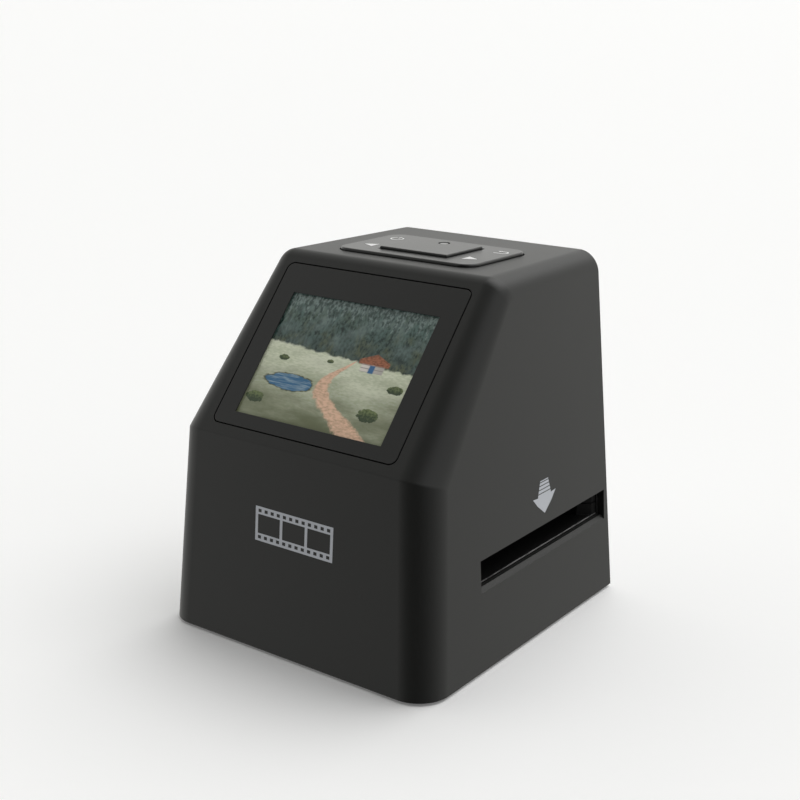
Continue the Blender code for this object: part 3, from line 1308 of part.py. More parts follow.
def make_detent():
    """A sprung plunger whose nose stands into the channel and drops into the film holder's notches."""
    nose_start = DETENT_TIP + DETENT_NOSE
    stem_top = DETENT_SHOULDER_TOP
    profile = (
        (0, DETENT_TIP),
        (DETENT_RADIUS * NOSE_RADIUS_SHARE, DETENT_TIP + DETENT_NOSE * NOSE_HEIGHT_SHARE),
        (DETENT_RADIUS, nose_start),
        (DETENT_RADIUS, DETENT_SHOULDER_BOTTOM),
        (DETENT_SHOULDER_RADIUS, DETENT_SHOULDER_BOTTOM),
        (DETENT_SHOULDER_RADIUS, stem_top),
        (0, stem_top),
    )
    plunger = turned(profile, (0, DETENT_Y, 0), (0, 0, 1))
    solid("detent_plunger", "steel", plunger, origin=(0, DETENT_Y, DETENT_TIP))
    plug_bottom = DETENT_TUBE_TOP - DETENT_CAP_PLUG
    cap_bottom = DETENT_TUBE_TOP + GAP
    cap_profile = (
        (0, plug_bottom),
        (DETENT_TUBE_INNER - GAP, plug_bottom),
        (DETENT_TUBE_INNER - GAP, cap_bottom),
        (DETENT_TUBE_OUTER, cap_bottom),
        (DETENT_TUBE_OUTER, cap_bottom + DETENT_CAP_HEIGHT),
        (0, cap_bottom + DETENT_CAP_HEIGHT),
    )
    solid("detent_cap", "inner_case", turned(cap_profile, (0, DETENT_Y, 0), (0, 0, 1)))
    spring_points = []
    low = SPRING_BOTTOM + SPRING_WIRE_RADIUS
    high = plug_bottom - GAP - SPRING_WIRE_RADIUS
    count = SPRING_TURNS * SPRING_TURN_POINTS
    for k in range(count + 1):
        angle = math.tau * k / SPRING_TURN_POINTS
        x = SPRING_RADIUS * math.cos(angle)
        y = DETENT_Y + SPRING_RADIUS * math.sin(angle)
        spring_points.append((x, y, low + (high - low) * k / count))
    spring = wire_mesh("detent_spring_wire", [spring_points], SPRING_WIRE_RADIUS, 1)
    solid("detent_spring", "steel", spring)


# Light box


def make_light_box():
    y = SLOT_CENTRE_Y
    light_box = solid(
        "light_box",
        "white_plastic",
        slab(0, y, LIGHT_BOX_BOTTOM, LIGHT_BOX_TOP, LIGHT_BOX_WIDTH, LIGHT_BOX_DEPTH),
    )
    inner_width = LIGHT_BOX_WIDTH - 2 * LIGHT_BOX_WALL
    inner_depth = LIGHT_BOX_DEPTH - 2 * LIGHT_BOX_WALL
    floor = LIGHT_BOX_BOTTOM + LIGHT_BOX_WALL
    cut(light_box, slab(0, y, floor, LIGHT_BOX_TOP + OVERRUN, inner_width, inner_depth))
    ledge_x = LIGHT_BOX_WIDTH / 2 - LIGHT_BOX_WALL - LEDGE_SIZE / 2 + BITE / 2
    ledge_y = LIGHT_BOX_DEPTH / 2 - LIGHT_BOX_WALL - LEDGE_SIZE / 2 + BITE / 2
    ledge_top = DIFFUSER_BOTTOM - GAP
    corners = mirrored([(ledge_x, y + end * ledge_y) for end in (-1, 1)])
    ledges = [slab(cx, cy, floor - BITE, ledge_top, LEDGE_SIZE, LEDGE_SIZE) for cx, cy in corners]
    fuse(light_box, *ledges)
    front = y - LIGHT_BOX_DEPTH / 2
    notch_top = LIGHT_BOARD_TOP + WIRE_NOTCH_HEIGHT
    notch_depth = LIGHT_BOX_WALL + OVERRUN
    cut(light_box, slab(0, front, LIGHT_BOARD_TOP - GAP, notch_top, WIRE_NOTCH_WIDTH, notch_depth))
    diffuser_width = inner_width - 2 * GAP
    diffuser_depth = inner_depth - 2 * GAP
    diffuser_top = DIFFUSER_BOTTOM + DIFFUSER_THICKNESS
    sheet = slab(0, y, DIFFUSER_BOTTOM, diffuser_top, diffuser_width, diffuser_depth)
    solid("diffuser", "white_plastic", sheet)


def make_backlight():
    """The light source: a board with its lamps soldered on."""
    y = SLOT_CENTRE_Y
    plate = slab(0, y, LIGHT_BOARD_BOTTOM, LIGHT_BOARD_TOP, LIGHT_BOARD_WIDTH, LIGHT_BOARD_DEPTH)
    board = solid("backlight_board", "board", plate)
    bottom = LIGHT_BOARD_TOP - BITE
    leds = []
    for column in range(LED_COLUMNS):
        for row in range(LED_ROWS):
            led_x = (column - (LED_COLUMNS - 1) / 2) * LED_PITCH_X
            led_y = y + (row - (LED_ROWS - 1) / 2) * LED_PITCH_Y
            leds.append(slab(led_x, led_y, bottom, LIGHT_BOARD_TOP + LED_HEIGHT, LED_SIZE, LED_SIZE))
    fuse(board, *leds)


def smooth_path(points, steps):
    """A Catmull-Rom curve through the points."""
    points = [Vector(point) for point in points]
    ends = [2 * points[0] - points[1]] + points + [2 * points[-1] - points[-2]]
    path = []
    for a, b, c, d in zip(ends, ends[1:], ends[2:], ends[3:]):
        for k in range(steps):
            t = k / steps
            curved = (2 * a - 5 * b + 4 * c - d) * t**2 + (3 * b - a - 3 * c + d) * t**3
            path.append(b + ((c - a) * t + curved) / 2)
    return path + [points[-1]]


def wire_mesh(name, paths, radius, resolution):
    """Wires of round section along paths, as one bmesh with their caps welded on."""
    curve = bpy.data.curves.new(name, "CURVE")
    curve.dimensions = "3D"
    curve.bevel_depth = radius
    curve.bevel_resolution = resolution
    curve.use_fill_caps = True
    for path in paths:
        spline = curve.splines.new("POLY")
        spline.points.add(len(path) - 1)
        for point, place in zip(spline.points, path):
            point.co = (*place, 1)
    holder = bpy.data.objects.new(name, curve)
    CUTTERS.objects.link(holder)
    bpy.context.view_layer.update()
    graph = bpy.context.evaluated_depsgraph_get()
    mesh = bpy.data.meshes.new_from_object(holder.evaluated_get(graph))
    piece = bmesh.new()
    piece.from_mesh(mesh)
    bmesh.ops.remove_doubles(piece, verts=piece.verts, dist=WELD)
    bpy.data.meshes.remove(mesh)
    bpy.data.objects.remove(holder)
    return piece


def make_backlight_wires():
    """Two wires from the light box, round the front of the film guides, to the main board."""
    paths = []
    for side in (-1, 1):
        shares = [k / (len(WIRE_ROUTE) - 1) for k in range(len(WIRE_ROUTE))]
        route = []
        for share, (x, y, z) in zip(shares, WIRE_ROUTE):
            across = side * WIRE_PITCH / 2
            route.append((x + across * (1 - share), y, z + across * share))
        paths.append(smooth_path(route, WIRE_STEPS))
    for name, path in zip(("backlight_wire_left", "backlight_wire_right"), paths):
        solid(name, "wire", wire_mesh("wire", [path], WIRE_RADIUS, 1))


# Camera over the film


def make_light_chamber():
    y = SLOT_CENTRE_Y
    flange_top = CHAMBER_BOTTOM + CHAMBER_FLANGE
    chamber = solid(
        "light_chamber",
        "inner_case",
        slab(0, y, CHAMBER_BOTTOM, flange_top, CHAMBER_FLANGE_WIDTH, CHAMBER_FLANGE_DEPTH),
    )
    top = CHAMBER_TOP_SIZE
    tower_bottom = CHAMBER_BOTTOM + CHAMBER_FLANGE / 2
    tower = frustum(0, y, tower_bottom, CHAMBER_TOP, CHAMBER_FOOT_WIDTH, CHAMBER_FOOT_DEPTH, top, top)
    fuse(chamber, tower)
    inner_width = CHAMBER_FOOT_WIDTH - 2 * CHAMBER_WALL
    inner_depth = CHAMBER_FOOT_DEPTH - 2 * CHAMBER_WALL
    inner_top = top - 2 * CHAMBER_WALL
    ceiling = CHAMBER_TOP - CHAMBER_WALL
    hollow = frustum(0, y, CHAMBER_BOTTOM - BITE, ceiling, inner_width, inner_depth, inner_top, inner_top)
    low, high = CHAMBER_BOTTOM - OVERRUN, flange_top + OVERRUN
    cut(chamber, hollow, *upright_holes(chamber_screw_places(), low, high))
    radius = LENS_RADIUS + HOLDER_SPIGOT + 2 * GAP
    cut(chamber, rod(radius, (0, y, ceiling - OVERRUN), (0, y, CHAMBER_TOP + OVERRUN), FINE_SIDES))


def make_lens():
    y = SLOT_CENTRE_Y
    outside = rod(LENS_RADIUS, (0, y, LENS_BOTTOM), (0, y, LENS_TOP), FINE_SIDES)
    barrel = solid("lens_barrel", "inner_case", outside)
    inner = LENS_RADIUS - LENS_WALL
    cut(barrel, rod(inner, (0, y, LENS_BOTTOM - OVERRUN), (0, y, LENS_TOP + OVERRUN), FINE_SIDES))
    middle = (LENS_BOTTOM + LENS_TOP) / 2
    edge = inner - GAP
    half = LENS_GLASS_EDGE / 2
    crown = half + LENS_CROWN
    shoulder = half + LENS_CROWN * LENS_HEIGHT_SHARE
    profile = (
        (0, middle - crown),
        (edge * LENS_RADIUS_SHARE, middle - shoulder),
        (edge, middle - half),
        (edge, middle + half),
        (edge * LENS_RADIUS_SHARE, middle + shoulder),
        (0, middle + crown),
    )
    solid("lens_glass", "clear", turned(profile, (0, y, 0), (0, 0, 1), FINE_SIDES))


def make_lens_holder():
    y = SLOT_CENTRE_Y
    holder = solid(
        "lens_holder",
        "inner_case",
        slab(0, y, HOLDER_BOTTOM, HOLDER_TOP, HOLDER_SIZE, HOLDER_SIZE),
    )
    bore = LENS_RADIUS + GAP
    spigot_bottom = HOLDER_BOTTOM - CHAMBER_WALL
    fuse(holder, rod(bore + HOLDER_SPIGOT, (0, y, spigot_bottom), (0, y, HOLDER_BOTTOM + BITE), FINE_SIDES))
    cut(holder, slab(0, y, SENSOR_FLOOR, HOLDER_TOP + OVERRUN, SENSOR_POCKET_SIZE, SENSOR_POCKET_SIZE))
    lens_hole = rod(bore, (0, y, spigot_bottom - OVERRUN), (0, y, HOLDER_TOP), FINE_SIDES)
    hole_bottom = SENSOR_BOARD_TOP + GAP - BOARD_SCREW_LENGTH - SCREW_TIP_ROOM
    cut(holder, lens_hole, *upright_holes(sensor_screw_places(), hole_bottom, HOLDER_TOP + OVERRUN))


def make_sensor():
    y = SLOT_CENTRE_Y
    filter_size = SENSOR_POCKET_SIZE - 2 * GAP
    filter_bottom = SENSOR_FLOOR + GAP
    solid(
        "ir_filter",
        "filter",
        slab(0, y, filter_bottom, filter_bottom + FILTER_THICKNESS, filter_size, filter_size),
    )
    sensor_top = SENSOR_BOARD_BOTTOM - GAP
    sensor = slab(0, y, sensor_top - SENSOR_THICKNESS, sensor_top, SENSOR_WIDTH, SENSOR_DEPTH)
    solid("image_sensor", "chip", sensor)
    board = solid(
        "sensor_board",
        "board",
        slab(0, y, SENSOR_BOARD_BOTTOM, SENSOR_BOARD_TOP, SENSOR_BOARD_SIZE, SENSOR_BOARD_SIZE),
    )
    low, high = SENSOR_BOARD_BOTTOM - OVERRUN, SENSOR_BOARD_TOP + OVERRUN
    cut(board, *upright_holes(sensor_screw_places(), low, high))


def make_sensor_ribbon():
    """A flat cable from the sensor board's edge, level and then down to its plug on the main board."""
    right = -SENSOR_BOARD_SIZE / 2 - GAP
    left = COMPONENT_X + CONNECTOR_THICKNESS / 2
    top = SENSOR_BOARD_TOP
    bottom = SENSOR_PLUG_TOP + GAP
    half = SENSOR_RIBBON_WIDTH / 2
    low_y, high_y = SENSOR_RIBBON_Y - half, SENSOR_RIBBON_Y + half
    level = box((left, low_y, top - FLEX_THICKNESS), (right, high_y, top))
    drop = box((left, low_y, bottom), (left + FLEX_THICKNESS, high_y, top - FLEX_THICKNESS / 2))
    solid("sensor_ribbon", "film_cable", joined(level, drop))


# Electronics


def make_main_board():
    low = (-MAIN_BOARD_OUTER_X, MAIN_BOARD_FRONT_Y, MAIN_BOARD_BOTTOM)
    high = (-MAIN_BOARD_X, MAIN_BOARD_BACK_Y, MAIN_BOARD_TOP)
    board = solid("main_board", "board", box(low, high))
    left, right = -MAIN_BOARD_OUTER_X - OVERRUN, OVERRUN - MAIN_BOARD_X
    cut(board, *[screw_hole((left, y, z), (right, y, z)) for y, z in main_screw_places()])
    fuse(board, *board_plugs())


def component(name, finish, y, z, thickness, depth, height):
    low = (COMPONENT_X, y - depth / 2, z - height / 2)
    high = (COMPONENT_X + thickness, y + depth / 2, z + height / 2)
    return solid(name, finish, box(low, high))


def make_components():
    component("processor_chip", "chip", CHIP_Y, CHIP_HEIGHT, CHIP_THICKNESS, CHIP_SIZE, CHIP_SIZE)
    z = MEMORY_MIDDLE_HEIGHT
    component("memory_chip", "chip", MEMORY_Y, z, MEMORY_THICKNESS, MEMORY_WIDTH, MEMORY_HEIGHT)
    z = CAPACITOR_MIDDLE_HEIGHT
    end = COMPONENT_X + CAPACITOR_LENGTH
    for number, y in enumerate(CAPACITOR_Y, 1):
        solid(f"capacitor_{number}", "capacitor", rod(CAPACITOR_RADIUS, (COMPONENT_X, y, z), (end, y, z)))


def make_usb_socket():
    top = USB_MIDDLE_HEIGHT + USB_HEIGHT / 2
    mouth = back_y(top) - USB_FACE_SINK
    y = mouth - USB_LENGTH / 2
    socket = component("usb_socket", "steel", y, USB_MIDDLE_HEIGHT, USB_THICKNESS, USB_LENGTH, USB_HEIGHT)
    hollow_front = mouth - USB_LENGTH + USB_BACK_WALL
    half = USB_HEIGHT / 2 - USB_SHELL
    low = (COMPONENT_X + USB_SHELL, hollow_front, USB_MIDDLE_HEIGHT - half)
    high = (COMPONENT_X + USB_THICKNESS - USB_SHELL, mouth + OVERRUN, USB_MIDDLE_HEIGHT + half)
    cut(socket, box(low, high))
    tongue_x = COMPONENT_X + USB_THICKNESS / 2
    tongue_half = half - USB_TONGUE_ROOM
    tongue_front = hollow_front - USB_BACK_WALL / 2
    tongue_low = (tongue_x - USB_TONGUE / 2, tongue_front, USB_MIDDLE_HEIGHT - tongue_half)
    tongue_high = (tongue_x + USB_TONGUE / 2, mouth - USB_TONGUE_ROOM, USB_MIDDLE_HEIGHT + tongue_half)
    fuse(socket, box(tongue_low, tongue_high))


def make_card_socket():
    top = CARD_MIDDLE_HEIGHT + CARD_HEIGHT / 2
    mouth = back_y(top, INSIDE)
    y = mouth - CARD_LENGTH / 2
    z = CARD_MIDDLE_HEIGHT
    socket = component("sd_card_socket", "steel", y, z, CARD_THICKNESS, CARD_LENGTH, CARD_HEIGHT)
    half = CARD_HEIGHT / 2 - CARD_END_WALL
    low = (COMPONENT_X + CARD_SHELL, mouth - CARD_LENGTH + CARD_BACK_WALL, CARD_MIDDLE_HEIGHT - half)
    high = (COMPONENT_X + CARD_THICKNESS - CARD_SHELL, mouth + OVERRUN, CARD_MIDDLE_HEIGHT + half)
    cut(socket, box(low, high))


def board_plugs():
    """Plugs soldered to the main board for the key cable, the sensor ribbon and the light box wires."""
    left = -MAIN_BOARD_X - BITE
    right = COMPONENT_X + CONNECTOR_THICKNESS
    half = SENSOR_RIBBON_WIDTH / 2 + CONNECTOR_MARGIN
    sensor_low = (left, SENSOR_RIBBON_Y - half, SENSOR_PLUG_TOP - CONNECTOR_DEPTH)
    sensor_plug = box(sensor_low, (right, SENSOR_RIBBON_Y + half, SENSOR_PLUG_TOP))
    half = KEY_CABLE_WIDTH / 2 + CONNECTOR_MARGIN
    key_plug_top = MAIN_BOARD_TOP - CONNECTOR_DEPTH
    key_low = (left, KEY_CABLE_Y - half, key_plug_top - CONNECTOR_DEPTH)
    key_plug = box(key_low, (right, KEY_CABLE_Y + half, key_plug_top))
    wire_back = WIRE_PLUG_FRONT_Y + WIRE_PLUG_LENGTH
    wire_low = (left, WIRE_PLUG_FRONT_Y, WIRE_PLUG_MIDDLE_HEIGHT - WIRE_PLUG_HEIGHT / 2)
    wire_high = (right + CONNECTOR_MARGIN, wire_back, WIRE_PLUG_MIDDLE_HEIGHT + WIRE_PLUG_HEIGHT / 2)
    return sensor_plug, key_plug, box(wire_low, wire_high)


def make_screen_connector():
    """The plug on the main board that takes the screen's flat cable, in line with the slope."""
    half = FLEX_WIDTH / 2 + CONNECTOR_MARGIN
    top = -FLEX_END - GAP
    low = (COMPONENT_X, WINDOW_CENTRE - half, top - CONNECTOR_DEPTH)
    high = (COMPONENT_X + CONNECTOR_THICKNESS, WINDOW_CENTRE + half, top)
    solid("screen_connector", "white_plastic", box(low, high), parent=SLOPE)


def main():
    make_hood()
    make_rear_cover()
    make_base_plate()
    make_feet()
    make_case_screws()
    make_screen()
    make_lcd_bracket()
    make_lcd_flex()
    make_rocker_plate()
    make_rocker_ring()
    make_key_carrier()
    make_centre_key()
    make_light_pipe()
    make_key_board()
    make_centre_switch()
    make_key_cable()
    make_film_guides()
    make_detent()
    make_light_box()
    make_backlight()
    make_backlight_wires()
    make_light_chamber()
    make_lens()
    make_lens_holder()
    make_sensor()
    make_sensor_ribbon()
    make_main_board()
    make_components()
    make_usb_socket()
    make_card_socket()
    make_screen_connector()


main()
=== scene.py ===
"""Looks of the film negative scanner: mouldings, prints, the screen's picture, finishes and light."""

import json
from math import atan, atan2, copysign, cos, hypot, pi, radians, sin, tau

import bmesh
import bpy
from mathutils import Matrix, Vector


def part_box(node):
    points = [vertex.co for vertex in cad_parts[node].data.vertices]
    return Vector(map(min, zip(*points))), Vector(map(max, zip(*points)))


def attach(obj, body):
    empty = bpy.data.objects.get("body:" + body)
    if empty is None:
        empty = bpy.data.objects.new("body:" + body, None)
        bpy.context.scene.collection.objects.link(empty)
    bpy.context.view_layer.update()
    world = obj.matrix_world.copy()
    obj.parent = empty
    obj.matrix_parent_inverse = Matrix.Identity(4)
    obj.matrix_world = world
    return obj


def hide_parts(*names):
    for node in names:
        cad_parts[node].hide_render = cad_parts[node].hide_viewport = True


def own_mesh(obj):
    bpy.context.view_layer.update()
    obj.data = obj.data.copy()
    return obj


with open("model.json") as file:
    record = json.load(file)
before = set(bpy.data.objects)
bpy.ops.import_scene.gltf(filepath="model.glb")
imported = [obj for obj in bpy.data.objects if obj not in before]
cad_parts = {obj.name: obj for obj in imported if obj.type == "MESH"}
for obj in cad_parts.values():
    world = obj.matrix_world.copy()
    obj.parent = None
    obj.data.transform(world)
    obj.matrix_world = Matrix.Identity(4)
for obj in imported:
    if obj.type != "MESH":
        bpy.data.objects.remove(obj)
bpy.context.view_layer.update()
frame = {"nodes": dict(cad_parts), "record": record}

# All lengths are in metres. The body frame starts under the middle of the hood's lower edge:
# +X is right, +Y is back and +Z is up. The feet carry it a little above the table.

# Sizes that the construction gives
GAP = 0.0003
OVERRUN = 0.003
BITE = 0.001
WELD = 0.00001
SLIVER = 0.000002
FOOT_STAND = 0.0008
BASE_FRONT_WIDTH = 0.0925
BASE_BACK_WIDTH = 0.0828
BASE_DEPTH = 0.0972
BODY_HEIGHT = 0.1
SIDE_LEAN = 0.0057
FRONT_LEAN = 0.0039
BACK_LEAN = 0.006
CREASE_HEIGHT = 0.0561
TOP_DEPTH = 0.0501
# Radii round the body's corners at its foot, crease and top, and across its front and top creases
BODY_RADII = (0.0089, 0.0087, 0.0062, 0.001, 0.0043)
INNER_EDGE_RADIUS = 0.0005
HOOD_WALL = 0.0022
RIB_THICKNESS = 0.0016
RIB_STEP = 0.0005

SLOT_LENGTH = 0.0672
SLOT_CENTRE_Y = 0.0113
SLOT_FLOOR = 0.0225
SLOT_HEIGHT = 0.0077
SLOT_LEAD_IN = 0.0011
CHANNEL_FLOOR = 0.0229

BASE_THICKNESS = 0.0024
POST_RADIUS = 0.0035
POST_FROM_SIDE = 0.009
POST_FROM_FRONT = 0.0216
POST_FROM_BACK = 0.0206
POST_HEIGHT = 0.0155
REAR_BOSS_RADIUS = 0.003
REAR_BOSS_LENGTH = 0.007
REAR_BOSS_FROM_SIDE = 0.0066
REAR_BOSS_HEIGHTS = (0.012, 0.088)
CASE_SCREW_HOLE_DEPTH = 0.0085
SCREW_HOLE_RADIUS = 0.0011

PANEL_SIZE = (0.0619, 0.0499)
PANEL_CENTRE = 0.0284
PANEL_CORNER_RADIUS = 0.002
PANEL_THICKNESS = 0.0012
PANEL_EDGE_GAP = 0.00035
WINDOW_SIZE = (0.0495, 0.0372)
WINDOW_CENTRE = 0.026
BEZEL_LIP = 0.0003
LCD_SIZE = (0.053, 0.0406)
LCD_THICKNESS = 0.0014
LCD_SIDE_GAP = 0.0005
BRACKET_SCREW_X = 0.033
BRACKET_SCREW_RISE = 0.0135
BRACKET_FRONT = 0.0051
LCD_POST_RADIUS = 0.002

PAD_WIDTH = 0.0464
PAD_DEPTH = 0.0282
PAD_CENTRE_Y = 0.0136
PAD_CORNER_RADIUS = 0.0045
PAD_RISE = 0.0008
PAD_THICKNESS = 0.0016
PAD_SKIRT = 0.0012
PAD_SIDE_GAP = 0.0004
PAD_FLANGE = 0.0012
PAD_FLANGE_THICKNESS = 0.0009
PAD_FLANGE_DROP = 0.0007
PIVOT_DEPTH = 0.0054
EAR_START = 0.0103
EAR_THICKNESS = 0.0014
EAR_WIDTH = 0.004
EAR_BELOW_PIVOT = 0.0022
EAR_HOLE_RADIUS = 0.0012
PUSHER_RADIUS = 0.0014
PUSHER_BOTTOM = 0.0935
SWITCH_X = 0.0174
SWITCH_FROM_PAD = 0.009

KEY_WIDTH = 0.023
KEY_DEPTH = 0.0172
KEY_CENTRE_Y = 0.0135
KEY_RISE = 0.0015
LIGHT_HOLE_RADIUS = 0.0017
LIGHT_Y = 0.0196

KEY_BOARD_DROP = 0.0104
TOP_BOSS_X = 0.0285
TOP_BOSS_FROM_PAD = 0.0125
TOP_BOSS_RADIUS = 0.0025
MAIN_BOARD_OUTER_X = 0.0339
MAIN_BOSS_RADIUS = 0.0024
MAIN_SCREW_YS = (-0.0045, 0.0373)
MAIN_SCREW_ZS = (0.0375, 0.0815)

KEY_HEAD_HEIGHT = 0.0045
KEY_WALL = 0.0012
KEY_FLANGE = 0.0012
KEY_FLANGE_THICKNESS = 0.001
KEY_EDGE_RADIUS = 0.0005
KEY_STEM_SIZE = 0.006
STEM_BOTTOM = 0.0939

SCREW_SHANK_RADIUS = 0.0008
HEAD_RADIUS = 0.0017
HEAD_HEIGHT = 0.0012
SCREW_SEAT = 0.0013  # under the outer face of the case
CASE_SCREW = 0.0078
BOARD_SCREW = 0.0055
SHORT_SCREW = 0.0036
THREAD_PITCH = 0.0006
THREAD_ROOT_SHARE = 0.82
PLAIN_PITCHES = 3
HEAD_FLAT_SHARE = 0.5
HEAD_RIM_SHARE = 0.35
RECESS_LENGTH = 0.0019
RECESS_WIDTH = 0.00042
RECESS_DEPTH = 0.0008
CARRIER_SCREW_X = 0.0172
CHAMBER_SCREW_X = 0.0245
CHAMBER_SCREW_REACH = 0.0188
CHAMBER_FLANGE_TOP = 0.0343
SENSOR_SCREW_PLACE = 0.0095
SENSOR_BOARD_TOP = 0.0732
BRACKET_BACK = 0.0059
MAIN_BOARD_X = 0.0323
KEY_BOARD_THICKNESS = 0.0016
BACKLIGHT_BOARD_TOP = 0.0062

# How finely the visible shapes are made
CORNER_STEPS = 20
CREASE_STEPS = 8
PAD_CORNER_STEPS = 14
ROUND_SIDES = 48
SMOOTH_ANGLE = radians(30)
SCREW_SIDES = 24
HEAD_STEPS = 4
ARC_STEPS = 28
FLAT_ANGLE = radians(0.5)

# Softened edges
CASE_EDGE = 0.00018
INNER_EDGE = 0.00012
METAL_EDGE = 0.00006
KEY_EDGE = 0.00018
PAD_RIM = 0.0006
KEY_RIM = 0.0004
PANEL_EDGE = 0.0001
EDGE_STEPS = 3
RIM_STEPS = 5

# The detent's spring
SPRING_WIRE_RADIUS = 0.0002
SPRING_WIRE_SIDES = 10
SPRING_TURNS = 5
SPRING_TURN_POINTS = 32

# Marks printed on the pad
PRINT_SINK = -0.00001
PRINT_TOP = 0.00002
ICON_X = 0.0174
ICON_BACK_Y = 0.0205
ICON_FRONT_Y = 0.0082
BACK_MARK_X = 0.0186
ICON_RADIUS = 0.0018
ICON_LINE = 0.00042
TRIANGLE_SIZE = 0.0038
# The power mark's ring in degrees, and its bar in shares of the icons' radius
POWER_RING = (125, 415)
POWER_BAR = (0.35, 1.35)
# The back mark in shares of that radius: its start, bend's middle, neck and end, and its bend's radius
BACK_MARK_XS = (-0.9, 0.4, -0.4, -0.5)
BACK_MARK_BEND = 0.75
# Half the width and the length of its head, in line widths
BACK_MARK_HEAD = (1.7, 2.4)

# The arrow over the slot: half of its head's outline from the tip, and the tapered stem of bars above it
ARROW_Y = 0.0106
ARROW_TIP_Z = 0.0334
ARROW_HALF = ((0, 0), (0.00375, 0.0028), (0.0061, 0.00525), (0.00345, 0.005), (0.0033, 0.0058))
ARROW_TOP = 0.0098
ARROW_TOP_HALF = 0.002
ARROW_BAR_GAP = 0.00027
ARROW_BARS = (0.0008, 0.0008, 0.0007, 0.0003)

# The strip of film on the front
FILM_X = 0.00095
FILM_Z = 0.03485
FILM_FRAMES = 3
FILM_PITCH = 0.0086
FILM_BORDER = 0.0009
FILM_HEIGHT = 0.0094
FILM_FRAME_HEIGHT = 0.0052
FILM_HOLES_PER_FRAME = 4
FILM_HOLE_WIDTH = 0.0011
FILM_HOLE_HEIGHT = 0.0009
FILM_HOLE_FROM_EDGE = 0.0011

SIDE_TAPER = (BASE_FRONT_WIDTH - BASE_BACK_WIDTH) / 2 / BASE_DEPTH
SIDE_SLANT = SIDE_LEAN / BODY_HEIGHT
FRONT_SLANT = FRONT_LEAN / CREASE_HEIGHT
BACK_SLANT = BACK_LEAN / BODY_HEIGHT
SIDE_NORMAL = Vector((1, SIDE_TAPER, SIDE_SLANT)).normalized()
INSIDE = HOOD_WALL + GAP
HOOD_CEILING = BODY_HEIGHT - HOOD_WALL
KEY_BOARD_TOP = BODY_HEIGHT - KEY_BOARD_DROP


# Places on the body


def side_x(y, z, inset=0.0):
    middle = (BASE_FRONT_WIDTH + BASE_BACK_WIDTH) / 4
    return middle - SIDE_TAPER * y - SIDE_SLANT * z - inset * hypot(1, SIDE_TAPER, SIDE_SLANT)


def front_y(z, inset=0.0):
    return FRONT_SLANT * z - BASE_DEPTH / 2 + inset * hypot(1, FRONT_SLANT)


def back_y(z, inset=0.0):
    return BASE_DEPTH / 2 - BACK_SLANT * z - inset * hypot(1, BACK_SLANT)


CREASE = Vector((front_y(CREASE_HEIGHT), CREASE_HEIGHT))
TOP_EDGE = Vector((back_y(BODY_HEIGHT) - TOP_DEPTH, BODY_HEIGHT))
SLOPE_TILT = atan2(TOP_EDGE.y - CREASE.y, TOP_EDGE.x - CREASE.x)
FRONT_LINE = (Vector((-1, FRONT_SLANT)).normalized(), CREASE)
SLOPE_LINE = (Vector((-sin(SLOPE_TILT), cos(SLOPE_TILT))), CREASE)
TOP_LINE = (Vector((0, 1)), TOP_EDGE)

BODY = Matrix.Translation((0, 0, FOOT_STAND))
SLOPE = BODY @ Matrix.Translation((0, CREASE.x, CREASE.y)) @ Matrix.Rotation(SLOPE_TILT, 4, "X")
REAR = BODY @ Matrix.Translation((0, BASE_DEPTH / 2, 0)) @ Matrix.Rotation(atan(BACK_SLANT), 4, "X")
PIVOT = BODY @ Matrix.Translation((0, PAD_CENTRE_Y, BODY_HEIGHT - PIVOT_DEPTH))
WORLD = Matrix.Identity(4)
SLOPE_IN_BODY = BODY.inverted() @ SLOPE
REAR_IN_BODY = BODY.inverted() @ REAR


def wall_frame(place, outward):
    """A frame on a wall: its Z points outward, its Y up the wall and its X to a viewer's right."""
    z = Vector(outward).normalized()
    x = Vector((0, 0, 1)).cross(z).normalized()
    y = z.cross(x)
    return BODY @ Matrix.Translation(place) @ frame_of(x, y, z)


def frame_of(x, y, z):
    return Matrix((x, y, z)).transposed().to_4x4()


def turn_to(direction):
    """The turn that brings +Z to a direction."""
    return Vector((0, 0, 1)).rotation_difference(Vector(direction)).to_matrix().to_4x4()


def mirrored(places):
    return [(side * place[0], *place[1:]) for place in places for side in (-1, 1)]


def four_places(x, middle, reach, *height):
    """Four places about a middle on the centre line."""
    return mirrored([(x, middle + end * reach, *height) for end in (-1, 1)])


POST_YS = (front_y(0) + POST_FROM_FRONT, back_y(0) - POST_FROM_BACK)
POSTS = mirrored([(side_x(y, 0) - POST_FROM_SIDE, y) for y in POST_YS])
REAR_BOSSES = mirrored([(side_x(back_y(z), z) - REAR_BOSS_FROM_SIDE, z) for z in REAR_BOSS_HEIGHTS])
TOP_BOSSES = four_places(TOP_BOSS_X, PAD_CENTRE_Y, TOP_BOSS_FROM_PAD)
LCD_POSTS = four_places(BRACKET_SCREW_X, WINDOW_CENTRE, BRACKET_SCREW_RISE)
MAIN_SCREWS = [(y, z) for y in MAIN_SCREW_YS for z in MAIN_SCREW_ZS]


# Shapes


def box(low, high):
    piece = bmesh.new()
    bmesh.ops.create_cube(piece, size=1)
    bmesh.ops.scale(piece, vec=[b - a for a, b in zip(low, high)], verts=piece.verts)
    bmesh.ops.translate(piece, vec=[(a + b) / 2 for a, b in zip(low, high)], verts=piece.verts)
    return piece


def slab(x, y, bottom, top, width, depth, margin=0.0):
    """A box about (x, y), larger by a margin on each of its four sides."""
    width, depth = width + 2 * margin, depth + 2 * margin
    return box((x - width / 2, y - depth / 2, bottom), (x + width / 2, y + depth / 2, top))


def bevelled(piece, edges, radius, steps):
    bmesh.ops.bevel(piece, geom=edges, offset=radius, segments=steps, profile=0.5, affect="EDGES")
    return piece


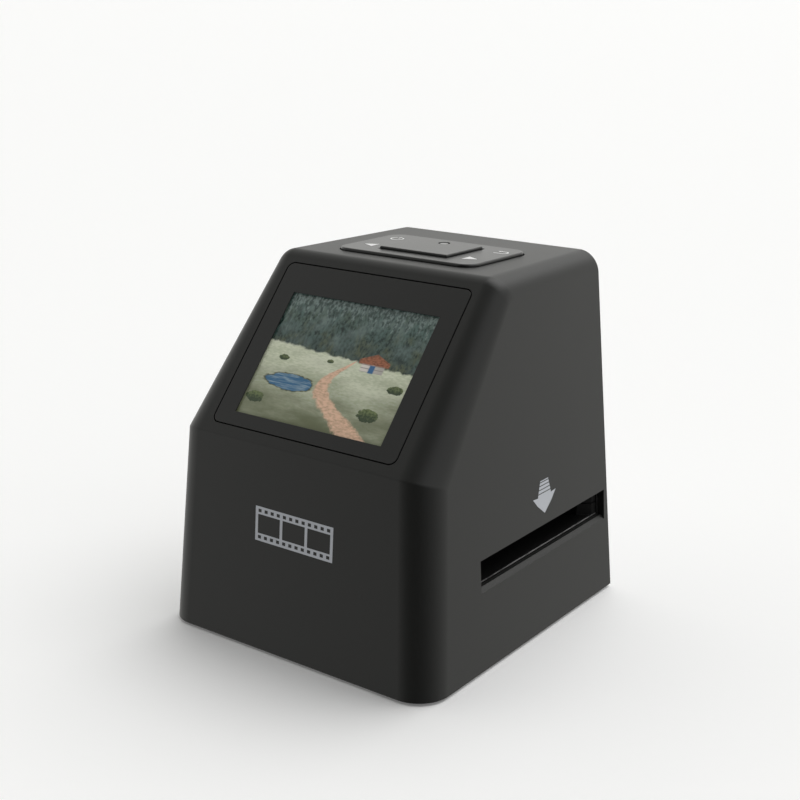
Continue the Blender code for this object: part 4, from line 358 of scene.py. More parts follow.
def soft_slab(x, y, bottom, top, width, depth, radius, margin=0.0):
    """A slab with rounded upright edges."""
    piece = slab(x, y, bottom, top, width, depth, margin)
    upright = [e for e in piece.edges if abs(e.verts[0].co.z - e.verts[1].co.z) > GAP]
    return bevelled(piece, upright, radius + margin, PAD_CORNER_STEPS)


def rounded_rim(piece, top, radius):
    """The piece with the rim of its flat top rounded."""
    rim = [e for e in piece.edges if all(abs(v.co.z - top) < WELD for v in e.verts)]
    return bevelled(piece, rim, radius, RIM_STEPS)


def rod(radius, start, end):
    start, end = Vector(start), Vector(end)
    piece = bmesh.new()
    matrix = Matrix.Translation((start + end) / 2) @ turn_to(end - start)
    size = {"radius1": radius, "radius2": radius, "depth": (end - start).length}
    bmesh.ops.create_cone(piece, cap_ends=True, segments=ROUND_SIDES, matrix=matrix, **size)
    return piece


def rods(radius, places, low, high):
    """Upright rods between two heights."""
    return [rod(radius, (x, y, low), (x, y, high)) for x, y in places]


def faced_out(piece):
    bmesh.ops.recalc_face_normals(piece, faces=piece.faces)
    return piece


def tube(rings):
    """A skin over rings of points, with a flat face on each end."""
    piece = bmesh.new()
    rings = [[piece.verts.new(point) for point in ring] for ring in rings]
    for near, far in zip(rings, rings[1:]):
        for k in range(len(near)):
            piece.faces.new((near[k], near[k - 1], far[k - 1], far[k]))
    piece.faces.new(rings[0])
    piece.faces.new(rings[-1])
    return faced_out(piece)


def turned(profile, sides):
    """A shape turned about Z from (radius, height) points."""
    piece = bmesh.new()
    verts = [piece.verts.new((radius, 0, height)) for radius, height in profile]
    edges = [piece.edges.new(pair) for pair in zip(verts, verts[1:])]
    bmesh.ops.spin(piece, geom=verts + edges, angle=tau, steps=sides, axis=(0, 0, 1), cent=(0, 0, 0))
    bmesh.ops.remove_doubles(piece, verts=piece.verts, dist=WELD)
    return faced_out(piece)


def placed(piece, matrix):
    bmesh.ops.transform(piece, matrix=matrix, verts=piece.verts)
    return piece


def tuned(item, **settings):
    for key, value in settings.items():
        setattr(item, key, value)
    return item


def as_mesh(piece, name="scratch"):
    mesh = bpy.data.meshes.new(name)
    piece.to_mesh(mesh)
    piece.free()
    return mesh


def linked(name, data):
    obj = bpy.data.objects.new(name, data)
    bpy.context.scene.collection.objects.link(obj)
    return obj


def taken_in(whole, mesh):
    whole.from_mesh(mesh)
    bpy.data.meshes.remove(mesh)
    return whole


def gathered(pieces):
    """Pieces that stay apart, as one bmesh."""
    whole = bmesh.new()
    for piece in pieces:
        taken_in(whole, as_mesh(piece))
    return whole


def combined(base, operation, pieces):
    """base with each piece added to it or cut from it, as one bmesh."""
    holder, *tools = [linked("scratch", as_mesh(piece)) for piece in (base, *pieces)]
    for tool in tools:
        tuned(holder.modifiers.new("step", "BOOLEAN"), operation=operation, object=tool)
    bpy.context.view_layer.update()
    graph = bpy.context.evaluated_depsgraph_get()
    result = taken_in(bmesh.new(), bpy.data.meshes.new_from_object(holder.evaluated_get(graph)))
    for obj in (holder, *tools):
        bpy.data.meshes.remove(obj.data)
    bmesh.ops.remove_doubles(result, verts=result.verts, dist=SLIVER)
    bmesh.ops.dissolve_degenerate(result, dist=SLIVER, edges=result.edges)
    return result


def united(base, *pieces):
    return combined(base, "UNION", pieces)


def without(base, *pieces):
    return combined(base, "DIFFERENCE", pieces)


def simplified(piece):
    """The piece with its flat areas as single faces, for even softened edges."""
    bmesh.ops.remove_doubles(piece, verts=piece.verts, dist=WELD)
    bmesh.ops.dissolve_limit(piece, angle_limit=FLAT_ANGLE, verts=piece.verts, edges=piece.edges)
    return piece


# The body's form, lofted between rails that run from the foot of the front over the top to the back


def crossing(first, second, first_depth, second_depth):
    """Where two lines of the profile meet once each has moved in by its depth."""
    (n, p), (m, q) = first, second
    a = n.dot(p) - first_depth
    b = m.dot(q) - second_depth
    spread = n.x * m.y - n.y * m.x
    return Vector(((a * m.y - b * n.y) / spread, (b * n.x - a * m.x) / spread))


def rounded_corner(first, second, first_depth, second_depth, radius):
    corner = crossing(first, second, first_depth, second_depth)
    n, m = first[0], second[0]
    centre = corner - (n + m) * radius / (1 + n.dot(m))
    start = atan2(n.y, n.x)
    turn = atan2(m.y, m.x) - start
    angles = [start + turn * k / CREASE_STEPS for k in range(CREASE_STEPS + 1)]
    return [centre + radius * Vector((cos(a), sin(a))) for a in angles]


def fillet_depths(line, radius, share):
    """How deep a rail lies under its own face and the side wall, so far round the corner fillet."""
    corner_angle = SIDE_NORMAL.angle(Vector((0, *line[0])))
    turned_by = share * corner_angle
    return radius * (1 - cos(turned_by)), radius * (1 - cos(corner_angle - turned_by))


def body_rail(share, inset, floor, back_inset):
    radii = [max(radius - inset, INNER_EDGE_RADIUS) for radius in BODY_RADII]
    base_radius, crease_radius, top_radius, front_edge, top_edge = radii

    under, beside = fillet_depths(FRONT_LINE, base_radius, share)
    y = front_y(floor, inset + under)
    rail = [(side_x(y, floor, inset + beside), y, floor)]

    corners = (
        (FRONT_LINE, SLOPE_LINE, crease_radius, front_edge),
        (SLOPE_LINE, TOP_LINE, top_radius, top_edge),
    )
    for first, second, radius, edge in corners:
        first_under, first_beside = fillet_depths(first, radius, share)
        second_under, second_beside = fillet_depths(second, radius, share)
        beside = (first_beside + second_beside) / 2
        for y, z in rounded_corner(first, second, inset + first_under, inset + second_under, edge):
            rail.append((side_x(y, z, inset + beside), y, z))

    under, beside = fillet_depths(TOP_LINE, top_radius, share)
    z = BODY_HEIGHT - inset - under
    y = back_y(z, back_inset)
    rail.append((side_x(y, z, inset + beside), y, z))
    return rail


def body_form(inset=0.0, floor=0.0, back_inset=0.0):
    """The body with its walls and back moved in and its foot at floor."""
    piece = bmesh.new()
    shares = [k / CORNER_STEPS for k in range(CORNER_STEPS + 1)]
    rails = [body_rail(share, inset, floor, back_inset) for share in shares]
    right = [[piece.verts.new(point) for point in rail] for rail in rails]
    left = [[piece.verts.new((-x, y, z)) for x, y, z in rail] for rail in rails]
    foot_y = back_y(floor, back_inset)
    foot_x = side_x(foot_y, floor, inset)
    right_foot = piece.verts.new((foot_x, foot_y, floor))
    left_foot = piece.verts.new((-foot_x, foot_y, floor))
    loft = left[::-1] + right
    for near, far in zip(loft, loft[1:]):
        for quad in zip(near, near[1:], far[1:], far):
            piece.faces.new(quad)
    for end in (0, -1):
        piece.faces.new([rail[end] for rail in loft] + [right_foot, left_foot])
    piece.faces.new(right[-1] + [right_foot])
    piece.faces.new(left[-1] + [left_foot])
    return faced_out(piece)


# Finishes


def feed(node, inputs):
    """Sets a node's inputs, or feeds them from fields or sockets."""
    for key, value in inputs.items():
        slot = node.inputs[key]
        if isinstance(value, Field):
            value = value.socket
        if isinstance(value, bpy.types.NodeSocket):
            slot.id_data.links.new(value, slot)
        else:
            slot.default_value = (*value, 1) if slot.type == "RGBA" else value


def add_node(tree, kind, inputs, **settings):
    node = tuned(tree.nodes.new(kind), **settings)
    feed(node, inputs)
    return node


class Field:
    """A number that varies over a surface. Sums of fields and the like become Math nodes."""

    def __init__(self, socket):
        self.socket = socket
        self.tree = socket.id_data

    def math(self, operation, *others):
        inputs = dict(enumerate((self, *others)))
        return Field(add_node(self.tree, "ShaderNodeMath", inputs, operation=operation).outputs[0])

    def __add__(self, other):
        return self.math("ADD", other)

    def __sub__(self, other):
        return self.math("SUBTRACT", other)

    def __mul__(self, other):
        return self.math("MULTIPLY", other)

    def mapped(self, inputs, **settings):
        node = add_node(self.tree, "ShaderNodeMapRange", {"Value": self, **inputs}, **settings)
        return Field(node.outputs["Result"])

    def step(self, low, high):
        """0 up to low, 1 from high on, and smooth between them."""
        return self.mapped({"From Min": low, "From Max": high}, interpolation_type="SMOOTHSTEP")

    def between(self, low, high):
        """Spread from low to high over the values from 0 to 1."""
        return self.mapped({"To Min": low, "To Max": high})

    def within(self, low, high):
        """1 where it lies between low and high, with a soft edge."""
        ends = [self.step(end - SOFT_EDGE, end + SOFT_EDGE) for end in (low, high)]
        return ends[0] - ends[1]


def coordinate(place, axis):
    split = add_node(place.id_data, "ShaderNodeSeparateXYZ", {"Vector": place})
    return Field(split.outputs[axis])


def noise(place, size, detail=2.0, stretch=(1, 1, 1)):
    """Noise with features about size across, as a field from 0 to 1."""
    mapping = add_node(place.id_data, "ShaderNodeMapping", {"Vector": place, "Scale": stretch})
    inputs = {"Vector": mapping.outputs["Vector"], "Scale": 1 / size, "Detail": detail}
    return Field(add_node(place.id_data, "ShaderNodeTexNoise", inputs).outputs["Fac"])


def mix(share, first, second):
    """A colour between two colours or colour sockets, by a field."""
    node = add_node(share.tree, "ShaderNodeMix", {"Factor": share}, data_type="RGBA")
    colour_slots = [k for k, slot in enumerate(node.inputs) if slot.type == "RGBA"]
    feed(node, dict(zip(colour_slots, (first, second))))
    return [slot for slot in node.outputs if slot.type == "RGBA"][0]


def shade(colour, factor):
    return tuple(channel * factor for channel in colour)


def new_material(name):
    """A material and the socket that gives the place on its surface."""
    material = bpy.data.materials.new(name)
    material.use_nodes = True
    return material, material.node_tree.nodes.new("ShaderNodeTexCoord").outputs["Object"]


def wired(material, inputs, height, depth):
    """The material with its shader's inputs fed, and a relief."""
    tree = material.node_tree
    bump = add_node(tree, "ShaderNodeBump", {"Distance": depth, "Height": height})
    feed(tree.nodes["Principled BSDF"], {**inputs, "Normal": bump.outputs["Normal"]})
    return material


def surface(name, colour, roughness, grain, depth, metallic=0.0, clouding=0.06, cloud=0.018, specular=0.5):
    """A finish with a fine grain, and a slight clouding of its colour and gloss."""
    material, place = new_material(name)
    clouds = noise(place, cloud, CLOUD_DETAIL)
    fine = noise(place, grain)
    low, high = 1 - clouding, 1 + clouding
    inputs = {
        "Base Color": mix(clouds, shade(colour, low), shade(colour, high)),
        "Metallic": metallic,
        "Roughness": (clouds * 0.5 + fine * 0.5).between(roughness * low, roughness * high),
        "Specular IOR Level": specular,
    }
    return wired(material, inputs, fine, depth)


def glassy(name, colour, roughness, transmission):
    """A clear or coated moulding, with faint waves and dust in its gloss."""
    material, place = new_material(name)
    clouds = noise(place, GLASS_CLOUD, CLOUD_DETAIL)
    low, high = GLASS_GLOSS
    inputs = {
        "Base Color": mix(clouds, shade(colour, GLASS_DUST), colour),
        "Roughness": clouds.between(roughness * low, roughness * high),
        "Transmission Weight": transmission,
    }
    return wired(material, inputs, noise(place, GLASS_WAVE), GLASS_WAVE_DEPTH)


def board_material(name, axis, level, raised):
    """Green solder mask over copper runs. Parts that stand past a level along an axis have a colour."""
    material, place = new_material(name)
    inputs = {"Vector": place, "Scale": 1 / TRACE_PITCH, "Randomness": TRACE_DISORDER}
    runs = add_node(place.id_data, "ShaderNodeTexVoronoi", inputs, feature="DISTANCE_TO_EDGE")
    copper = Field(runs.outputs["Distance"]).step(*TRACE_EDGE)
    colour = mix(copper, MASK_OVER_COPPER, MASK)
    colour = mix(noise(place, PAD_SPACING, 1).step(*PAD_SHARE), colour, GOLD)
    colour = mix(coordinate(place, axis).step(level, level + WELD), colour, raised)
    inputs = {"Base Color": colour, "Roughness": noise(place, MASK_GRAIN).between(*MASK_GLOSS)}
    return wired(material, inputs, copper, TRACE_DEPTH)


def rail_highlight_material():
    """The inner moulding, with a highlight painted in a broken band just under the channel's floor."""
    material, place = new_material("rail_painted_highlight")
    height = coordinate(place, "Z") - (FOOT_STAND + CHANNEL_FLOOR)
    # Painted highlight: a lighter band just under the channel's floor, where the rail's edge would catch
    # the light, broken up by noise
    highlight_band = height.step(-RAIL_HIGHLIGHT_BAND - WELD, -RAIL_HIGHLIGHT_BAND) * height.step(-WELD / 2, -WELD * 3 / 4)
    painted_highlight = highlight_band * noise(place, HIGHLIGHT_BREAK_SIZE, CLOUD_DETAIL).step(*HIGHLIGHT_BREAK_SHARE)
    fine = noise(place, INNER_GRAIN)
    inputs = {
        "Base Color": mix(painted_highlight, INNER_COLOUR, RAIL_HIGHLIGHT_COLOUR),
        "Roughness": fine.between(*RAIL_GLOSS),
        "Specular IOR Level": INNER_SPECULAR,
    }
    return wired(material, inputs, fine, INNER_DEPTH)


CLOUD_DETAIL = 3
SOFT_EDGE = 0.01
GLASS_CLOUD = 0.004
GLASS_GLOSS = (0.8, 1.3)
GLASS_DUST = 0.92
GLASS_WAVE = 0.0015
GLASS_WAVE_DEPTH = 0.000002
# The runs, pads and solder mask of the boards
TRACE_PITCH = 0.0014
TRACE_DISORDER = 0.7
TRACE_EDGE = (0.06, 0.12)
TRACE_DEPTH = 0.00002
PAD_SPACING = 0.0016
PAD_SHARE = (0.7, 0.72)
MASK_GRAIN = 0.001
MASK_GLOSS = (0.3, 0.45)
MASK = (0.012, 0.11, 0.045)
MASK_OVER_COPPER = (0.05, 0.26, 0.1)
GOLD = (0.62, 0.5, 0.22)
BLACK_PART = (0.012, 0.012, 0.013)
WHITE_PART = (0.78, 0.78, 0.72)
# The inner mouldings, and the highlight painted on the lower one just under the channel's floor
INNER_COLOUR = (0.0035, 0.0035, 0.0035)
INNER_GRAIN = 0.0003
INNER_DEPTH = 0.000012
INNER_SPECULAR = 0.25
RAIL_HIGHLIGHT_COLOUR = (0.22, 0.22, 0.22)
RAIL_HIGHLIGHT_BAND = 0.0003
HIGHLIGHT_BREAK_SIZE = 0.0025
HIGHLIGHT_BREAK_SHARE = (0.2, 0.6)
RAIL_GLOSS = (0.5, 0.7)


# The picture on the screen. Its places are shares of half the window: x and y run from -1 to 1

DARK_PINE = (0.008, 0.021, 0.017)
FAR_PINE = (0.036, 0.06, 0.053)
OLIVE_PINE = (0.085, 0.1, 0.05)
MIST = (0.17, 0.225, 0.21)
MEADOW = (0.5, 0.545, 0.39)
PALE_MEADOW = (0.66, 0.69, 0.54)
SHADED_GRASS = (0.12, 0.135, 0.07)
POND = (0.035, 0.13, 0.25)
POND_GLINT = (0.36, 0.47, 0.52)
REEDS = (0.05, 0.06, 0.02)
PATH = (0.74, 0.5, 0.35)
PATH_SHADE = (0.46, 0.3, 0.2)
CABIN_WALL = (0.66, 0.62, 0.57)
CABIN_ROOF = (0.38, 0.14, 0.07)
CABIN_DOOR = (0.04, 0.13, 0.28)
BUSH = (0.035, 0.055, 0.025)
BUSH_LIGHT = (0.14, 0.18, 0.07)
# Textures: how large their features are, how detailed, and how much finer along each axis
CROWNS = (0.0009, 5, (1.3, 0.8, 1))
MIST_BANKS = (0.007, 4, (1, 1.5, 1))
SUNLIT = (0.006, 3)
TREE_SWAY = (0.005, 2, (1, 0.3, 1))
TREE_FRINGE = (0.0016, 4, (1, 0.6, 1))
GRASS = (0.0008, 5, (0.6, 1.8, 1))
PATCHES = (0.006, 3, (0.4, 1.6, 1))
CLOUD_SHADOW = (0.009, 4, (0.5, 1.6, 1))
SAND = (0.0009, 4, (0.7, 1.6, 1))
PATH_FRINGE = (0.0012, 4)
POND_FRINGE = (0.0035, 4)
RIPPLES = (0.0012, 3, (0.3, 3, 1))
LEAVES = (0.0007, 4)
BUSH_FRINGE = (0.0011, 4)
TILES = (0.0008, 3, (1, 2, 1))
EDGE_FRINGE = (0.0022, 3)
# Bushes in the meadow: place and half width
BUSHES = ((-0.72, -0.02, 0.07), (-0.1, 0.05, 0.045), (0.86, -0.18, 0.1))
BUSHES += ((0.66, -0.62, 0.14), (-0.86, -0.7, 0.13))
# Rows of trees from far to near: height of their feet, height of a tree and trees across half the window
TREE_ROWS = ((0.62, 0.34, 9.0), (0.36, 0.3, 7.0), (0.12, 0.26, 5.5))
MEADOW_EDGE = 0.14
MEADOW_EDGE_SLOPE = 0.07
CABIN_X = 0.46
POND_X = -0.5
POND_Y = -0.38
# How many of the pond's half widths and half heights fit in half the window
POND_SHARES = (3.1, 8.0)
PATH_X = 0.12
PATH_SWING = 0.26
PATH_BENDS = 4.2
PATH_WIDENING = 0.17
SCREEN_GLOW = 0.12
SCREEN_CLOUD = 0.01
SCREEN_WAVE = 0.006
SCREEN_GLOSS = (0.12, 0.2)


def paint_forest(x, y, texture):
    crowns = texture(*CROWNS)
    mist = texture(*MIST_BANKS).step(0.4, 0.72)
    sunlit = texture(*SUNLIT).step(0.42, 0.64)
    sway = texture(*TREE_SWAY) * 2.5
    fringe = texture(*TREE_FRINGE).between(-0.2, 0.2)
    colour = mix(crowns.step(0.38, 0.66), FAR_PINE, MIST)
    for k, (foot, height, count) in enumerate(TREE_ROWS):
        spread = x * count + sway + k * 0.4
        outline = spread.math("PINGPONG", 0.5) * (-2 * height) + (foot + height) + fringe
        nearness = (k + 1) / len(TREE_ROWS)
        lit = (crowns + (outline - y) * -0.5).step(0.18, 0.58)
        leaves = mix(sunlit * nearness, shade(FAR_PINE, 2.6 - nearness * 1.3), OLIVE_PINE)
        near = mix(lit, DARK_PINE, leaves)
        near = mix(mist * (0.8 - 0.6 * nearness), near, MIST)
        colour = mix((outline - y).step(-0.03, 0.03), colour, near)
    return colour


def paint_meadow(x, y, texture):
    grass = texture(*GRASS)
    colour = mix((grass * 0.6 + texture(*PATCHES) * 0.4).step(0.36, 0.62), MEADOW, PALE_MEADOW)
    shadow = (y * -0.6 + texture(*CLOUD_SHADOW)).step(0.34, 1.15)
    colour = mix(shadow * (y * -0.3 + 0.72), colour, SHADED_GRASS)

    bend = (y * PATH_BENDS).math("SINE") * PATH_SWING + y * -0.22
    width = (y * -PATH_WIDENING + (MEADOW_EDGE + 0.03) * PATH_WIDENING).math("MAXIMUM", 0.004)
    off_path = (x - bend - PATH_X).math("ABSOLUTE").math("DIVIDE", width)
    off_path = off_path + texture(*PATH_FRINGE).between(-0.5, 0.5)
    sand = mix(texture(*SAND).step(0.2, 0.66), PATH_SHADE, PATH)
    colour = mix(off_path.step(0.8, 1.25), sand, colour)

    across = (x - POND_X) * POND_SHARES[0]
    along = (y - POND_Y) * POND_SHARES[1]
    round_pond = (across * across + along * along) + texture(*POND_FRINGE).between(-0.7, 0.7)
    water = mix(texture(*RIPPLES).step(0.4, 0.75) * (y * 2 + 1.5), POND, POND_GLINT)
    colour = mix((round_pond + grass * 0.5).step(1.2, 1.6), REEDS, colour)
    return mix(round_pond.step(0.85, 1.05), water, colour)


def paint_bushes(x, y, texture, colour):
    leaves = texture(*LEAVES)
    fringe = texture(*BUSH_FRINGE).between(-0.8, 0.8)
    for place_x, place_y, half in BUSHES:
        across = (x - place_x) * (1 / half)
        along = (y - place_y) * (1.5 / half)
        reach = (across * across + along * along) + fringe
        lit = (leaves + along * 0.25).step(0.35, 0.8)
        colour = mix(reach.step(0.85, 1.1), mix(lit, BUSH, BUSH_LIGHT), colour)
    return colour


def paint_cabin(x, y, texture, colour):
    """A small cabin with a tilted roof and a door, over colour."""
    x = x - CABIN_X
    walls = x.within(-0.15, 0.15) * y.within(0.0, 0.16)
    planks = (y * 18).math("PINGPONG", 0.5).step(0.04, 0.16) * x.step(0.12, -0.12).between(0.4, 1)
    colour = mix(walls, colour, mix(planks, shade(CABIN_WALL, 0.4), CABIN_WALL))
    roof = (y + x.math("ABSOLUTE") * 0.55).within(0.12, 0.29) * x.within(-0.2, 0.2) * y.step(0.1, 0.13)
    tiles = texture(*TILES).step(0.3, 0.7)
    colour = mix(roof, colour, mix(tiles, shade(CABIN_ROOF, 0.45), CABIN_ROOF))
    door = x.within(-0.04, 0.03) * y.within(-0.01, 0.11)
    return mix(door, colour, CABIN_DOOR)


def picture_material():
    material, place = new_material("screen_picture")
    x = coordinate(place, "X") * (2 / WINDOW_SIZE[0])
    y = (coordinate(place, "Y") - WINDOW_CENTRE) * (2 / WINDOW_SIZE[1])

    def texture(*pattern):
        return noise(place, *pattern)

    meadow = paint_bushes(x, y, texture, paint_meadow(x, y, texture))
    edge = y + x * MEADOW_EDGE_SLOPE + texture(*EDGE_FRINGE).between(-0.05, 0.05)
    beyond = edge.step(MEADOW_EDGE - 0.02, MEADOW_EDGE + 0.02)
    colour = paint_cabin(x, y, texture, mix(beyond, meadow, paint_forest(x, y, texture)))
    inputs = {
        "Base Color": colour,
        "Roughness": texture(SCREEN_CLOUD).between(*SCREEN_GLOSS),
        "Emission Color": colour,
        "Emission Strength": SCREEN_GLOW,
    }
    return wired(material, inputs, texture(SCREEN_WAVE), GLASS_WAVE_DEPTH)


# The finish that each of the record's material slots has
FINISHES = {
    "case": surface("moulded_case", (0.0105, 0.011, 0.0098), 0.46, 0.00022, 0.000011),
    "keys": surface("moulded_keys", (0.0135, 0.014, 0.0133), 0.35, 0.00016, 0.000006),
    "panel": surface("moulded_panel", (0.008, 0.0083, 0.0077), 0.36, 0.00012, 0.000003),
    "picture": picture_material(),
    "steel": surface("zinc_steel", (0.56, 0.56, 0.58), 0.32, 0.00008, 0.000004, metallic=1),
    "sheet_steel": surface("tinned_sheet", (0.62, 0.61, 0.6), 0.28, 0.00012, 0.000003, metallic=1),
    "chip": surface("chip_package", (0.014, 0.014, 0.015), 0.55, 0.00006, 0.000006),
    "white_plastic": surface("white_moulding", (0.8, 0.8, 0.78), 0.45, 0.0003, 0.000008, clouding=0.03),
    "inner_case": surface(
        "moulded_inner", INNER_COLOUR, 0.62, INNER_GRAIN, INNER_DEPTH, specular=INNER_SPECULAR
    ),
    "diffuser": surface("opal_sheet", (0.86, 0.86, 0.85), 0.4, 0.0004, 0.000004, clouding=0.02),
    "rubber": surface("rubber", (0.022, 0.022, 0.022), 0.8, 0.0004, 0.00003),
    "optics": glassy("coated_glass", (0.72, 0.88, 0.86), 0.03, 0.9),
    "film_cable": surface(
        "film_cable", (0.4, 0.19, 0.045), 0.35, 0.0008, 0.000006, clouding=0.12, cloud=0.003
    ),
    "clear": glassy("light_guide", (0.1, 0.105, 0.1), 0.3, 0.0),
    "wire": surface("wire_cover", (0.42, 0.025, 0.02), 0.45, 0.0006, 0.000008),
    "capacitor": surface("capacitor_sleeve", (0.02, 0.03, 0.09), 0.35, 0.0005, 0.000004),
}
PAD_PRINT = surface("pad_print", (0.82, 0.82, 0.82), 0.5, 0.0001, 0.000004)
SILVER_PRINT = surface("silver_print", (0.5, 0.52, 0.56), 0.42, 0.00012, 0.000005, clouding=0.04)


# Making pieces


def coat(obj, material):
    obj.data.materials.clear()
    obj.data.materials.append(material)


def finished(name, piece, matrix, slot, edge=0.0, replaces=(), body="root", material=None):
    """A piece of the scanner, which rides on its body and stands for its nodes."""
    obj = linked(name, as_mesh(piece, name))
    obj.matrix_world = matrix
    obj.data.shade_smooth()
    obj.data.set_sharp_from_angle(angle=SMOOTH_ANGLE)
    coat(obj, material or FINISHES[slot])
    if edge:
        bevel = obj.modifiers.new("softened_edges", "BEVEL")
        tuned(bevel, width=edge, segments=EDGE_STEPS, limit_method="ANGLE", angle_limit=SMOOTH_ANGLE)
    obj.modifiers.new("even_shading", "WEIGHTED_NORMAL").keep_sharp = not edge
    bpy.context.view_layer.update()
    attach(obj, body)
    if replaces:
        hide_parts(*replaces)
    return obj


# Hood


def make_hood():
    piece = without(body_form(), body_form(HOOD_WALL, -OVERRUN, -OVERRUN))
    piece = united(piece, *hood_posts())
    piece = without(piece, *film_slot_cutters())
    pad_opening = pad_slab(HOOD_CEILING - OVERRUN, BODY_HEIGHT + OVERRUN, PAD_SIDE_GAP, PAD_CENTRE_Y)
    panel_seat = placed(panel_slab(-PANEL_THICKNESS - GAP, OVERRUN, PANEL_EDGE_GAP), SLOPE_IN_BODY)
    piece = without(piece, pad_opening, panel_seat, *hood_holes())
    piece = without(piece, placed(lcd_slab(-HOOD_WALL - OVERRUN, 0), SLOPE_IN_BODY))
    finished("hood_moulding", piece, BODY, "case", CASE_EDGE, ["hood"])


def wall_x(y, z):
    return side_x(y, z, HOOD_WALL / 2)


def hood_posts():
    """The screws' posts and bosses. Ribs join those at the base and the back to the side walls."""
    pieces = []
    bottom = BASE_THICKNESS + GAP
    top = bottom + POST_HEIGHT
    for x, y in POSTS:
        wall = copysign(wall_x(y, (bottom + top) / 2), x)
        low = (min(x, wall), y - RIB_THICKNESS / 2, bottom + RIB_STEP)
        high = (max(x, wall), y + RIB_THICKNESS / 2, top - RIB_STEP)
        pieces.append(united(rod(POST_RADIUS, (x, y, bottom), (x, y, top)), box(low, high)))
    pieces += rods(TOP_BOSS_RADIUS, TOP_BOSSES, KEY_BOARD_TOP + GAP, HOOD_CEILING + BITE)
    for y, z in MAIN_SCREWS:
        pieces.append(rod(MAIN_BOSS_RADIUS, (-wall_x(y, z), y, z), (-MAIN_BOARD_OUTER_X - GAP, y, z)))
    for x, z in REAR_BOSSES:
        start, end = -INSIDE, -INSIDE - REAR_BOSS_LENGTH
        wall = copysign(wall_x(back_y(z) - INSIDE, z), x)
        boss = rod(REAR_BOSS_RADIUS, (x, end, z), (x, start, z))
        low = (min(x, wall), end + RIB_STEP, z - RIB_THICKNESS / 2)
        high = (max(x, wall), start - RIB_STEP, z + RIB_THICKNESS / 2)
        pieces.append(placed(united(boss, box(low, high)), REAR_IN_BODY))
    posts = rods(LCD_POST_RADIUS, LCD_POSTS, GAP - BRACKET_FRONT, BITE - HOOD_WALL)
    return pieces + [placed(post, SLOPE_IN_BODY) for post in posts]


def hood_holes():
    """Pilot holes for the screws in the posts and bosses."""
    bottom = BASE_THICKNESS + GAP
    holes = rods(SCREW_HOLE_RADIUS, POSTS, bottom - BITE, bottom + CASE_SCREW_HOLE_DEPTH)
    holes += rods(SCREW_HOLE_RADIUS, TOP_BOSSES, KEY_BOARD_TOP - BITE, HOOD_CEILING - BITE)
    for x, z in REAR_BOSSES:
        hole = rod(SCREW_HOLE_RADIUS, (x, -CASE_SCREW_HOLE_DEPTH, z), (x, 0, z))
        holes.append(placed(hole, REAR_IN_BODY))
    return holes


def film_slot_cutters():
    slot_top = SLOT_FLOOR + SLOT_HEIGHT
    width = BASE_FRONT_WIDTH + 2 * OVERRUN
    slot = slab(0, SLOT_CENTRE_Y, SLOT_FLOOR, slot_top, width, SLOT_LENGTH)
    return [slot, lead_in(-1), lead_in(1)]


def lead_in(side):
    """The wedge that makes the chamfer under the slot's lower edge, on one side."""
    edge = SLOT_LEAD_IN
    points = ((-edge, BITE), (-edge, 0), (0, -edge), (OVERRUN, -edge), (OVERRUN, BITE))
    rings = []
    for y in (SLOT_CENTRE_Y - SLOT_LENGTH / 2, SLOT_CENTRE_Y + SLOT_LENGTH / 2):
        outer = side_x(y, SLOT_FLOOR)
        rings.append([(side * (outer + x), y, SLOT_FLOOR + z) for x, z in points])
    return tube(rings)


# Screen


def panel_slab(bottom, top, margin=0.0):
    return soft_slab(0, PANEL_CENTRE, bottom, top, *PANEL_SIZE, PANEL_CORNER_RADIUS, margin)


def lcd_slab(bottom, top, margin=LCD_SIDE_GAP):
    return slab(0, WINDOW_CENTRE, bottom, top, *LCD_SIZE, margin)


def make_screen():
    window = slab(0, WINDOW_CENTRE, -PANEL_THICKNESS - OVERRUN, OVERRUN, *WINDOW_SIZE)
    pocket = lcd_slab(-PANEL_THICKNESS - OVERRUN, -BEZEL_LIP)
    bezel = without(panel_slab(-PANEL_THICKNESS, 0), window, pocket)
    finished("screen_bezel", bezel, SLOPE, "panel", PANEL_EDGE, ["screen_panel"])
    front = BEZEL_LIP + GAP
    glass = lcd_slab(-front - LCD_THICKNESS, -front, 0.0)
    finished("screen_glass", glass, SLOPE, "picture", PANEL_EDGE, ["lcd_glass"])


# Key pad


def pad_slab(bottom, top, margin=0.0, y=0.0):
    return soft_slab(0, y, bottom, top, PAD_WIDTH, PAD_DEPTH, PAD_CORNER_RADIUS, margin)


def make_key_pad():
    lower = PIVOT_DEPTH - BODY_HEIGHT
    top = PAD_RISE + PIVOT_DEPTH
    underside = top - PAD_THICKNESS
    flange_top = PIVOT_DEPTH - HOOD_WALL - PAD_FLANGE_DROP
    flange_bottom = flange_top - PAD_FLANGE_THICKNESS
    plate = rounded_rim(pad_slab(flange_bottom, top), top, PAD_RIM)
    flange = pad_slab(flange_bottom, flange_top, PAD_SIDE_GAP + PAD_FLANGE)
    piece = without(united(plate, flange), pad_slab(lower, underside, -PAD_SKIRT))
    ear_top = underside + BITE / 2
    ear_y = EAR_START + EAR_THICKNESS / 2
    ears = [slab(0, end * ear_y, -EAR_BELOW_PIVOT, ear_top, EAR_WIDTH, EAR_THICKNESS) for end in (-1, 1)]
    places = four_places(SWITCH_X, 0, SWITCH_FROM_PAD)
    pushers = rods(PUSHER_RADIUS, places, PUSHER_BOTTOM + lower, ear_top)
    piece = united(piece, *ears, *pushers)
    key_y = KEY_CENTRE_Y - PAD_CENTRE_Y
    key_hole = slab(0, key_y, underside - BITE, top + OVERRUN, KEY_WIDTH, KEY_DEPTH, PAD_SIDE_GAP)
    pin_hole = rod(EAR_HOLE_RADIUS, (0, -PAD_DEPTH, 0), (0, PAD_DEPTH, 0))
    piece = simplified(without(piece, key_hole, pin_hole))
    finished("key_pad", piece, PIVOT, "keys", KEY_EDGE, ["rocker_plate"], "rocker_plate")


